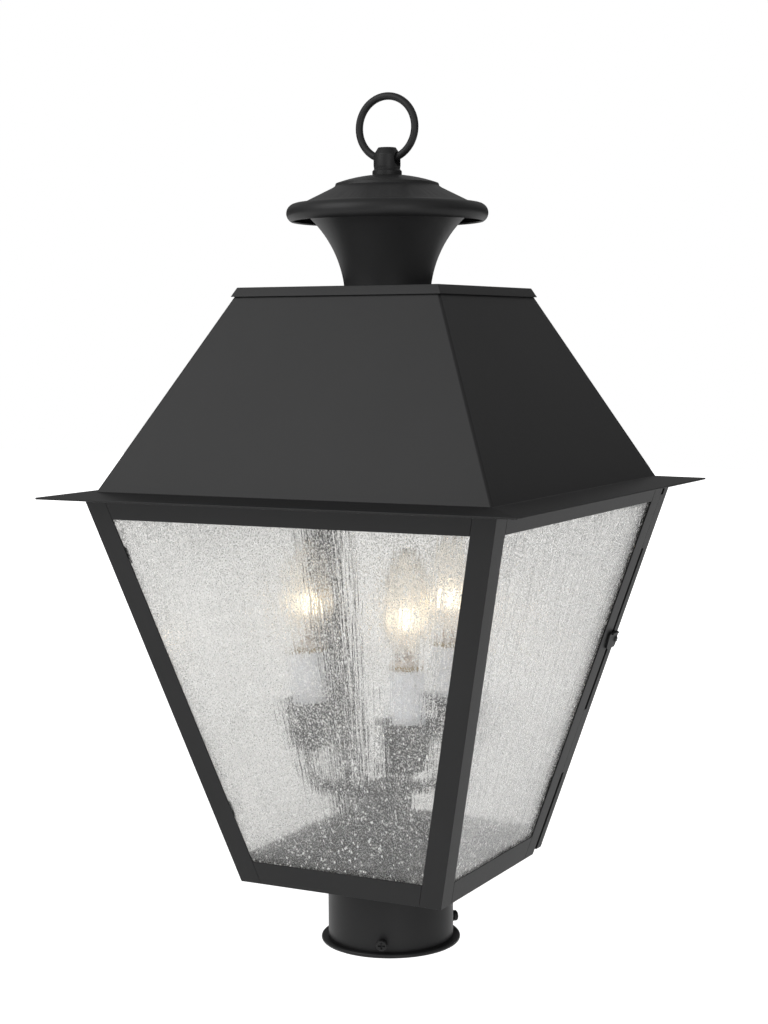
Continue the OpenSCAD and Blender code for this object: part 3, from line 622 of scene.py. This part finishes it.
def turned(name, outline, place=(0, 0, 0), steps=72):
    """A mesh turned about the Z axis at a place, from a closed outline of (radius, height) points."""
    mesh = bmesh.new()
    rings = []
    for radius, height in outline:
        if radius < WELD:
            rings.append([mesh.verts.new((place[0], place[1], place[2] + height))] * steps)
            continue
        ring = []
        for k in range(steps):
            turn = math.tau * k / steps
            ring.append(mesh.verts.new((
                place[0] + radius * math.cos(turn), place[1] + radius * math.sin(turn), place[2] + height,
            )))
        rings.append(ring)
    join_rings(mesh, rings, rings[1:] + rings[:1])
    return as_object(name, mesh)


def square_ring(mesh, half, height, radius, steps):
    """Points round a square with round corners, at one height."""
    ring = []
    for corner in range(4):
        for k in range(steps + 1):
            turn = math.radians(90 * corner - 90 + 90 * k / steps)
            middle = Matrix.Rotation(math.radians(90 * corner), 3, "Z") @ Vector((half - radius, -half + radius, 0))
            ring.append(mesh.verts.new((
                middle.x + radius * math.cos(turn), middle.y + radius * math.sin(turn), height,
            )))
    return ring


def section_of(node):
    """A mitred panel's cross-section: its (outward, height) points, from the lowest up."""
    mesh = welded(node)
    points = []
    for vert in mesh.verts:
        point = (round(-vert.co.y, 6), round(vert.co.z, 6))
        if all(math.dist(point, other) > 0.1 * MM for other in points):
            points.append(point)
    mesh.free()
    return sorted(points, key=lambda p: (p[1], p[0]))


# ------------------------------------------------------------------ pieces


class LANTERN_OT_sheet_metal(bpy.types.Operator):
    """Round the cut edges of the cage, the door's frame and the floor plate, and paint them"""

    bl_idname = "lantern.sheet_metal"
    bl_label = "Cage and door sheet"

    def execute(self, context):
        settings = context.scene.lantern_paint
        coat = bpy.data.materials["Black powder coat"]
        for node in CAGE_SHEET + DOOR_SHEET + ["bottom_plate", "roof_pan"]:
            softened(node, coat, settings.edge)
        for node in ["latch", "hinge_leaves_cage", "hinge_leaves_door"]:
            softened(node, coat, 0.12 * MM)
        return {"FINISHED"}


class LANTERN_OT_roof(bpy.types.Operator):
    """Build the folded roof as one shell with soft hips, from the panels' cross-section"""

    bl_idname = "lantern.roof"
    bl_label = "Roof shell"

    def execute(self, context):
        settings = context.scene.lantern_paint
        brim_in, brim_out, fold_in, fold_out, top_in, top_out = section_of("roof_panel_front")
        brim_corner = 0.6 * MM
        under = settings.fold - (top_out[0] - top_in[0]) / 2
        mesh = bmesh.new()
        rings = [
            square_ring(mesh, half, height, radius, 5)
            for (half, height), radius in (
                (brim_out, brim_corner), (fold_out, settings.fold), (top_out, settings.fold),
                (top_in, under), (fold_in, under), (brim_in, brim_corner),
            )
        ]
        join_rings(mesh, rings, rings[1:] + rings[:1])
        piece = as_object("roof_shell", mesh)
        bevel(piece, 0.4 * MM, 3, math.radians(35))
        bake_modifiers(piece)
        smooth(piece)
        paint(piece, bpy.data.materials["Roof powder coat"], "lantern")
        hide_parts(*ROOF_PANELS)
        return {"FINISHED"}


class LANTERN_OT_turned_parts(bpy.types.Operator):
    """Finish the spun and turned pieces: neck, cap, finial, ring, collar and set screws"""

    bl_idname = "lantern.turned_parts"
    bl_label = "Spun and turned parts"

    def execute(self, context):
        coat = bpy.data.materials["Spun powder coat"]
        for node in TURNED:
            softened(node, coat, 0.15 * MM, TURNED_ANGLE)
        # The neck gets the lighter copy of the coat, which is painted light.
        softened("chimney_neck", bpy.data.materials["Chimney coat painted lighter"], 0.15 * MM, TURNED_ANGLE)
        for node in ["ring"] + ["set_screw_" + k for k in CANDLES]:
            softened(node, coat, 0.1 * MM, TURNED_ANGLE)
        return {"FINISHED"}


class LANTERN_OT_cluster(bpy.types.Operator):
    """Finish the candle cluster: base, column, hub, arms, cups, sleeves and sockets"""

    bl_idname = "lantern.cluster"
    bl_label = "Candle cluster"

    def execute(self, context):
        coat = bpy.data.materials["Spun powder coat"]
        for node in CLUSTER:
            softened(node, coat, 0.15 * MM, TURNED_ANGLE)
        softened("candle_sleeves", bpy.data.materials["Candle sleeve"], 0.4 * MM, TURNED_ANGLE, 3)
        softened("bulb_sockets", bpy.data.materials["Socket brass"], 0.3 * MM, TURNED_ANGLE)
        return {"FINISHED"}


def islands(mesh):
    """The separate pieces of a bmesh, each as its list of vertices."""
    left = set(mesh.verts)
    found = []
    while left:
        reached, edge = set(), {next(iter(left))}
        while edge:
            reached |= edge
            edge = {e.other_vert(v) for v in edge for e in v.link_edges} - reached
        left -= reached
        found.append(sorted(reached, key=lambda v: v.index))
    return sorted(found, key=lambda verts: min(v.co.z for v in verts))


def screw_head(radius, height, slot):
    """A round screw head on its own Z axis, with a slot across it."""
    outline = [(0, -0.3 * MM), (radius * 0.8, -0.3 * MM), (radius, 0.0), (radius, height * 0.35)]
    outline += [
        (radius * math.cos(turn), height * (0.35 + 0.65 * math.sin(turn)))
        for turn in (math.radians(a) for a in (20, 40, 60, 75, 90))
    ]
    head = turned("screw_head", outline, steps=32)
    cutter = bmesh.new()
    bmesh.ops.create_cube(cutter, size=1)
    bmesh.ops.scale(cutter, verts=cutter.verts, vec=(radius * 3, slot, height))
    bmesh.ops.translate(cutter, verts=cutter.verts, vec=(0, 0, height * 1.05))
    knife = as_object("screw_slot", cutter)
    cut = head.modifiers.new("Slot", "BOOLEAN")
    cut.operation = "DIFFERENCE"
    cut.object = knife
    bake_modifiers(head)
    mesh = head.data
    for scrap in (head, knife):
        bpy.data.objects.remove(scrap)
    return mesh


def leaf_screws(node, from_back, inset, material):
    """Screws down the outside of a hinge's leaves, a distance in from their plain edge."""
    mesh = welded(node)
    tree = BVHTree.FromBMesh(mesh)
    head = screw_head(2.1 * MM, 0.9 * MM, 0.5 * MM)
    joined = bmesh.new()
    for number, verts in enumerate(islands(mesh)):
        low = min(v.co.z for v in verts)
        high = max(v.co.z for v in verts)
        ys = sorted(v.co.y for v in verts)
        steps = [ys[0] + (ys[-1] - ys[0]) * k / 200 for k in range(201)]
        for row, share in enumerate((0.2, 0.5, 0.8)):
            z = low + (high - low) * share
            for y in reversed(steps) if from_back else steps:
                if tree.ray_cast(Vector((-1, y, z)), Vector((1, 0, 0)))[0]:
                    break
            y += -inset if from_back else inset
            place, normal, _, _ = tree.ray_cast(Vector((-1, y, z)), Vector((1, 0, 0)))
            turn = Matrix.Rotation(0.9 * row + 1.7 * number, 4, "Z")
            stand = normal.to_track_quat("Z", "Y").to_matrix().to_4x4()
            copy = head.copy()
            copy.transform(Matrix.Translation(place) @ stand @ turn)
            joined.from_mesh(copy)
            bpy.data.meshes.remove(copy)
    mesh.free()
    piece = as_object(node + "_screws", joined)
    smooth(piece, math.radians(40))
    return paint(piece, material, BODY_OF[node])


class LANTERN_OT_hardware(bpy.types.Operator):
    """Give the rod, bridge bar, nuts, clips and fasteners their plated metal, coat the hinge pins and latch rivet
    black, and put screws in the hinges
    """

    bl_idname = "lantern.hardware"
    bl_label = "Plated hardware"

    def execute(self, context):
        plated = bpy.data.materials["Plated steel"]
        coat = bpy.data.materials["Black powder coat"]
        for node in ["plate_fasteners", "glass_clips", "bridge_bar", "cap_rod", "rod_nuts", "door_clips"]:
            repaint(node, plated)
        for node in ["hinge_pins", "latch_rivet"]:
            repaint(node, coat)
        leaf_screws("hinge_leaves_cage", False, 5.5 * MM, coat)
        leaf_screws("hinge_leaves_door", True, 3.2 * MM, coat)
        return {"FINISHED"}


def pane_corners(node):
    """A pane's eight corners: four of its outer face and four of its inner one, each from the lower left
    as seen from outside, and round."""
    mesh = welded(node)
    corners = [v.co.copy() for v in mesh.verts]
    mesh.free()
    middle = sum(corners, Vector()) / len(corners)
    outward = Vector((middle.x, middle.y, 0)).normalized()
    across = Vector((-outward.y, outward.x, 0))
    levels = sorted(corners, key=lambda p: p.z)
    rows = []
    for level in (levels[:4], levels[4:]):
        by_depth = sorted(level, key=lambda p: p.dot(outward))
        rows.append([sorted(pair, key=lambda p: p.dot(across)) for pair in (by_depth[2:], by_depth[:2])])
    (low_out, low_in), (high_out, high_in) = rows
    return [
        (face_low[0], face_low[1], face_high[1], face_high[0])
        for face_low, face_high in ((low_out, high_out), (low_in, high_in))
    ]


def pane_point(corners, u, v):
    """The point at those shares of a pane's width and height."""
    low = corners[0].lerp(corners[1], u)
    return low.lerp(corners[3].lerp(corners[2], u), v)


def relief_at(x, y, seed, streak):
    """Height of the drawn waves, 0 to 1, at a place on a pane."""
    wide = noise.noise(Vector((x / (streak * 2.6), y / 0.16, seed)))
    narrow = noise.noise(Vector((x / streak + 1.5 * wide, y / 0.07, seed + 7.3)))
    return min(1.0, max(0.0, 0.5 + 0.45 * wide + 0.55 * narrow))


def make_pane(node, glass, seed):
    """A pane with long waves drawn down both faces, inside the plain pane's solid."""
    outer, inner = pane_corners(node)
    width = (outer[2] - outer[3]).length
    height = ((outer[3] + outer[2]) / 2 - (outer[0] + outer[1]) / 2).length
    columns, rows = 200, 56
    margin = 8 * MM
    mesh = bmesh.new()
    uv = mesh.loops.layers.uv.new("UVMap")
    grids = []
    for face, corners in enumerate((outer, inner)):
        other = inner if face == 0 else outer
        grid = []
        for j in range(rows + 1):
            row = []
            for i in range(columns + 1):
                u, v = i / columns, j / rows
                point = pane_point(corners, u, v)
                inwards = (pane_point(other, u, v) - point).normalized()
                x, y = (u - 0.5) * width, (v - 0.5) * height
                edge = min(u * width, (1 - u) * width, v * height, (1 - v) * height)
                share = min(1.0, edge / margin)
                depth = glass.relief * share * (1 - relief_at(x, y, seed + 11 * face, glass.streak))
                vert = mesh.verts.new(point + inwards * depth)
                row.append((vert, (x + width * 3 * seed, y + height * 2 * face)))
            grid.append(row)
        grids.append(grid)
    for grid in grids:
        for j in range(rows):
            for i in range(columns):
                corners = (grid[j][i], grid[j][i + 1], grid[j + 1][i + 1], grid[j + 1][i])
                made = mesh.faces.new([c[0] for c in corners])
                for loop, corner in zip(made.loops, corners):
                    loop[uv].uv = corner[1]
    outside, inside = grids
    border = (
        [(j, 0) for j in range(rows)] + [(rows, i) for i in range(columns)]
        + [(j, columns) for j in range(rows, 0, -1)] + [(0, i) for i in range(columns, 0, -1)]
    )
    for a, b in zip(border, border[1:] + border[:1]):
        mesh.faces.new([
            side[j][i][0] for side, (j, i) in ((outside, a), (outside, b), (inside, b), (inside, a))
        ])
    bmesh.ops.recalc_face_normals(mesh, faces=mesh.faces)
    piece = as_object(node + "_drawn", mesh)
    return smooth(piece, math.radians(50))


def middle_sheet(node):
    """A flat sheet halfway through a pane, for the seeds."""
    outer, inner = pane_corners(node)
    mesh = bmesh.new()
    verts = [mesh.verts.new((a + b) / 2) for a, b in zip(outer, inner)]
    mesh.faces.new(verts)
    up = ((outer[3] - outer[0]) + (outer[2] - outer[1])).normalized()
    return as_object(node + "_seeds", mesh), up


def deliver(tree, geometry, given, out):
    """Ends a geometry group: its copies become real and get their material."""
    real = add(tree, "GeometryNodeRealizeInstances", {"Geometry": geometry})
    coloured = add(
        tree, "GeometryNodeSetMaterial", {"Geometry": real.outputs[0], "Material": given["Material"]},
    )
    feed(tree, out, {"Geometry": coloured.outputs[0]})
    return tree


def random_share(tree, low, high, seed):
    """A random number for each point."""
    return add(
        tree, "FunctionNodeRandomValue", {2: low, 3: high, "Seed": seed}, data_type="FLOAT",
    ).outputs[1]


def seed_tree():
    """Geometry nodes: drawn-out bubbles scattered through a flat sheet."""
    tree, given, out = group(
        "Scattered seeds",
        [
            ("Geometry", "Geometry", None), ("Density", "Float", 5000.0), ("Size", "Float", 1 * MM),
            ("Stretch", "Float", 1.8), ("Depth", "Float", 0.8 * MM), ("Up", "Vector", (0, 0, 1)),
            ("Seed", "Int", 1), ("Material", "Material", None),
        ],
        [("Geometry", "Geometry")], "GeometryNodeTree",
    )
    points = add(
        tree, "GeometryNodeDistributePointsOnFaces",
        {"Mesh": given["Geometry"], "Density": given["Density"], "Seed": given["Seed"]},
    )
    depth = product(tree, random_share(tree, -1.0, 1.0, given["Seed"]), given["Depth"])
    away = add(
        tree, "ShaderNodeVectorMath", {0: points.outputs["Normal"], "Scale": depth}, operation="SCALE",
    ).outputs[0]
    moved = add(tree, "GeometryNodeSetPosition", {"Geometry": points.outputs["Points"], "Offset": away})
    ball = add(tree, "GeometryNodeMeshIcoSphere", {"Radius": 0.5, "Subdivisions": 1})
    rounded = add(tree, "GeometryNodeSetShadeSmooth", {"Geometry": ball.outputs["Mesh"]})
    share = random_share(tree, 0.35, 1.0, maths(tree, "ADD", given["Seed"], 5.0))
    wide = product(tree, share, given["Size"])
    long = product(tree, wide, given["Stretch"])
    size = add(tree, "ShaderNodeCombineXYZ", {0: wide, 1: wide, 2: long}).outputs[0]
    turn = add(tree, "FunctionNodeAlignRotationToVector", {"Vector": given["Up"]}, axis="Z").outputs[0]
    copies = add(
        tree, "GeometryNodeInstanceOnPoints",
        {"Points": moved.outputs[0], "Instance": rounded.outputs[0], "Rotation": turn, "Scale": size},
    )
    return deliver(tree, copies.outputs[0], given, out)


def set_inputs(modifier, **values):
    """Sets a Geometry Nodes modifier's inputs by their labels."""
    for item in modifier.node_group.interface.items_tree:
        if item.in_out == "INPUT" and item.name in values:
            modifier[item.identifier] = values[item.name]


class LANTERN_OT_panes(bpy.types.Operator):
    """Make the four panes of drawn glass and the larger seeds in them"""

    bl_idname = "lantern.panes"
    bl_label = "Panes"

    def execute(self, context):
        settings = context.scene.lantern_glass
        glass = bpy.data.materials["Seeded glass"]
        # The seeds' white is a painted glint, not the glass's own colour.
        skin = bpy.data.materials["Seed glint paint"]
        tree = seed_tree()
        for seed, node in enumerate(["glass_front", "glass_right", "glass_left", "glass_door"]):
            pane = make_pane(node, settings, seed + 1)
            paint(pane, glass, BODY_OF[node])
            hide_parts(node)
            seeds, up = middle_sheet(node)
            scatter = seeds.modifiers.new("Seeds", "NODES")
            scatter.node_group = tree
            set_inputs(
                scatter, Density=settings.seeds, Size=settings.seed_size, Stretch=1.8, Depth=0.5 * MM,
                Up=up, Seed=seed + 3, Material=skin,
            )
            bake_modifiers(seeds)
            paint(seeds, skin, BODY_OF[node])
        return {"FINISHED"}


def coil_tree():
    """Geometry nodes: a wire wound about the Z axis, at a place."""
    tree, given, out = group(
        "Wound filament",
        [
            ("Geometry", "Geometry", None), ("Turns", "Float", 6.0), ("Radius", "Float", 2 * MM),
            ("Height", "Float", 12 * MM), ("Wire", "Float", 0.2 * MM), ("Place", "Vector", (0, 0, 0)),
            ("Material", "Material", None),
        ],
        [("Geometry", "Geometry")], "GeometryNodeTree",
    )
    line = add(
        tree, "GeometryNodeCurveSpiral",
        {
            "Resolution": 14, "Rotations": given["Turns"], "Start Radius": given["Radius"],
            "End Radius": given["Radius"], "Height": given["Height"],
        },
    )
    wire = add(tree, "GeometryNodeCurvePrimitiveCircle", {"Resolution": 8, "Radius": given["Wire"]})
    tube = add(
        tree, "GeometryNodeCurveToMesh",
        {"Curve": line.outputs[0], "Profile Curve": wire.outputs[0], "Fill Caps": True},
    )
    placed = add(
        tree, "GeometryNodeTransform", {"Geometry": tube.outputs[0], "Translation": given["Place"]},
    )
    return deliver(tree, placed.outputs[0], given, out)


class LANTERN_OT_bulbs(bpy.types.Operator):
    """Light the bulbs: glass, stem, lead wires and filament"""

    bl_idname = "lantern.bulbs"
    bl_label = "Bulbs"

    def execute(self, context):
        light = context.scene.lantern_light
        low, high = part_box("bulb_glass_a")
        centre = low.z + 0.37 * (high.z - low.z)
        bulb = bulb_material(light, centre)
        foot_skin = foot_material(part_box("bulb_sockets")[1].z)
        glow = bpy.data.materials["Filament"]
        stem_glass = bpy.data.materials["Stem glass"]
        wire = bpy.data.materials["Plated steel"]
        tree = coil_tree()
        for k in CANDLES:
            body = "bulb_" + k
            low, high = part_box("bulb_glass_" + k)
            middle = (low + high) / 2
            softened("bulb_glass_" + k, bulb, 0)
            softened("bulb_base_" + k, foot_skin, 0.15 * MM)
            foot = low.z
            coil = as_object("filament_" + k, bmesh.new())
            winding = coil.modifiers.new("Winding", "NODES")
            winding.node_group = tree
            set_inputs(
                winding, Turns=7.0, Radius=COIL_RADIUS, Height=COIL_LENGTH, Wire=0.22 * MM,
                Place=(middle.x, middle.y, centre - COIL_LENGTH / 2), Material=glow,
            )
            bake_modifiers(coil)
            paint(coil, glow, body)
            outline = [(radius * MM, foot + height * MM) for radius, height in STEM]
            stem = turned("stem_" + k, outline, (middle.x, middle.y, 0), 28)
            smooth(stem)
            paint(stem, stem_glass, body)
            leads = self.leads(k, middle, foot, centre)
            paint(leads, wire, body)
        return {"FINISHED"}

    def leads(self, k, middle, foot, centre):
        """Two wires from the stem to the filament's ends."""
        mesh = bmesh.new()
        for side in (-1, 1):
            top = centre + side * COIL_LENGTH / 2
            path = [(out * MM, foot + height * MM) for out, height in LEAD]
            path += [(LEAD_REACH, top), (COIL_RADIUS, top)]
            points = [Vector((middle.x + side * out, middle.y, height)) for out, height in path]
            self.tube(mesh, points, 0.2 * MM, 8)
        piece = as_object("lead_wires_" + k, mesh)
        return smooth(piece, math.radians(60))

    def tube(self, mesh, path, radius, sides):
        """A closed tube along a path."""
        rings = []
        for i, point in enumerate(path):
            ahead = (path[min(i + 1, len(path) - 1)] - path[max(i - 1, 0)]).normalized()
            side = ahead.cross(Vector((0, 1, 0))).normalized()
            other = ahead.cross(side)
            rings.append([
                mesh.verts.new(point + radius * (math.cos(math.tau * s / sides) * side
                                                 + math.sin(math.tau * s / sides) * other))
                for s in range(sides)
            ])
        mesh.faces.new(rings[0][::-1])
        mesh.faces.new(rings[-1])
        join_rings(mesh, rings, rings[1:])


class LANTERN_OT_finishes(bpy.types.Operator):
    """Make the materials and the groups that they share"""

    bl_idname = "lantern.finishes"
    bl_label = "Finishes"

    def execute(self, context):
        coat = context.scene.lantern_paint
        light = context.scene.lantern_light
        finish_group()
        seed_group()
        for name, (bright, rougher, gloss, drift, uneven, grain, relief) in COATS.items():
            sprayed(
                name, [c * bright for c in coat.colour], coat.roughness + rougher, coat.gloss * gloss,
                drift, uneven, coat.grain * grain, relief * MM,
            )
        pane_material(context.scene.lantern_glass)
        seed_material(context.scene.lantern_glass)
        plain_glass()
        glow_material(light)
        sleeve_material(light)
        brass_material("Socket brass")
        metal_material("Plated steel", (0.52, 0.52, 0.53), 0.36, (1, 1, 0.15))
        return {"FINISHED"}


# ------------------------------------------------------------------ studio


def area_lamp(name, place, size, power, target):
    """A rectangular white lamp that looks at a point."""
    lamp = bpy.data.lights.new(name, "AREA")
    lamp.shape = "RECTANGLE"
    lamp.size, lamp.size_y = size
    lamp.energy = power
    made = bpy.data.objects.new(name, lamp)
    made.location = place
    made.rotation_euler = (Vector(target) - Vector(place)).to_track_quat("-Z", "Y").to_euler()
    bpy.context.scene.collection.objects.link(made)


def seen_white(tree):
    """1 for a ray that shows the surroundings to the eye, straight or through glass, and 0 for light."""
    path = tree.nodes.new("ShaderNodeLightPath").outputs
    return maths(tree, "MAXIMUM", path["Is Camera Ray"], path["Is Transmission Ray"])


def white_room(studio):
    """The world: white to the eye and through glass. As a light it is soft, and dim near the horizon."""
    world = bpy.data.worlds.new("White room")
    bpy.context.scene.world = world
    world.use_nodes = True
    tree = world.node_tree
    tree.nodes.clear()
    towards = add(tree, "ShaderNodeSeparateXYZ", {0: place_of(tree, "Generated")}).outputs
    overhead = spread(tree, towards["Z"], 0.1, 0.42, studio.horizon, studio.room)
    front = spread(tree, towards["Y"], 0.1, -0.7, 0.0, studio.front)
    level = spread(tree, seen_white(tree), 0.0, 1.0, maths(tree, "ADD", overhead, front), 1.0)
    shown = add(tree, "ShaderNodeBackground", {"Color": (1, 1, 1, 1), "Strength": level})
    add(tree, "ShaderNodeOutputWorld", {"Surface": shown.outputs[0]})


def floor_material(studio):
    """A pale floor that keeps the lantern's shadow, and fades to white away from it."""
    material, tree, shader, _ = new_material("Studio floor")
    place = place_of(tree)
    dust = grain_of(tree, place, 0.3, 3.0)
    away = add(tree, "ShaderNodeVectorMath", {0: place}, operation="LENGTH").outputs["Value"]
    shown = spread(tree, away, 0.6, 2.4, 0.6, 1.0)
    feed(tree, shader, {
        "Base Color": blend(tree, vary(tree, dust), (0.90, 0.90, 0.90, 1), (0.93, 0.93, 0.93, 1)),
        "Roughness": 0.9, "Specular IOR Level": 0.1, "Emission Color": (1, 1, 1, 1),
        "Emission Strength": spread(tree, seen_white(tree), 0.0, 1.0, studio.glow, shown),
    })
    return material


class LANTERN_OT_studio(bpy.types.Operator):
    """Set up the pale floor, the white room, the lamps and the camera"""

    bl_idname = "lantern.studio"
    bl_label = "Studio"

    def execute(self, context):
        studio = context.scene.lantern_studio
        scene = context.scene
        scene.view_settings.view_transform = "Standard"
        camera = bpy.data.objects.new("Camera", bpy.data.cameras.new("Camera"))
        camera.data.lens = studio.lens
        camera.data.sensor_width = 36
        camera.data.shift_x = studio.shift
        target = Vector((0, 0, studio.height))
        back = Vector((
            math.sin(studio.turn) * math.cos(studio.rise), -math.cos(studio.turn) * math.cos(studio.rise),
            math.sin(studio.rise),
        ))
        camera.location = target + back * studio.distance
        facing = (-back).to_track_quat("-Z", "Y").to_matrix()
        camera.rotation_euler = (facing @ Matrix.Rotation(studio.roll, 3, "Z")).to_euler()
        scene.collection.objects.link(camera)
        scene.camera = camera

        mesh = bmesh.new()
        bmesh.ops.create_grid(mesh, x_segments=4, y_segments=4, size=studio.floor_reach)
        bmesh.ops.translate(mesh, verts=mesh.verts, vec=(0, 0, -studio.floor_drop))
        floor = as_object("floor", mesh)
        floor.data.materials.append(floor_material(studio))

        white_room(studio)
        middle = (0, 0, 0.30)
        area_lamp("Key", (-0.95, -1.4, 1.35), (1.6, 1.6), studio.key, middle)
        area_lamp("Fill", (1.45, -1.7, 0.4), (1.0, 1.6), studio.fill, middle)
        return {"FINISHED"}


class LANTERN_PT_panel(bpy.types.Panel):
    """The lantern's settings and its steps"""

    bl_label = "Lantern"
    bl_idname = "LANTERN_PT_panel"
    bl_space_type = "VIEW_3D"
    bl_region_type = "UI"
    bl_category = "Lantern"

    def draw(self, context):
        for name, kind in SETTINGS:
            box = self.layout.box()
            for key in kind.__annotations__:
                box.prop(getattr(context.scene, name), key)
        for step in STEPS:
            self.layout.operator(step.bl_idname)


STEPS = (
    LANTERN_OT_finishes,
    LANTERN_OT_studio,
    LANTERN_OT_roof,
    LANTERN_OT_sheet_metal,
    LANTERN_OT_turned_parts,
    LANTERN_OT_cluster,
    LANTERN_OT_hardware,
    LANTERN_OT_panes,
    LANTERN_OT_bulbs,
)


def register():
    for name, kind in SETTINGS:
        bpy.utils.register_class(kind)
        setattr(bpy.types.Scene, name, PointerProperty(type=kind))
    for step in STEPS:
        bpy.utils.register_class(step)
    bpy.utils.register_class(LANTERN_PT_panel)


def unregister():
    bpy.utils.unregister_class(LANTERN_PT_panel)
    for step in reversed(STEPS):
        bpy.utils.unregister_class(step)
    for name, kind in reversed(SETTINGS):
        delattr(bpy.types.Scene, name)
        bpy.utils.unregister_class(kind)


def main():
    register()
    for step in STEPS:
        area, action = step.bl_idname.split(".")
        getattr(getattr(bpy.ops, area), action)()


if __name__ == "__main__":
    main()
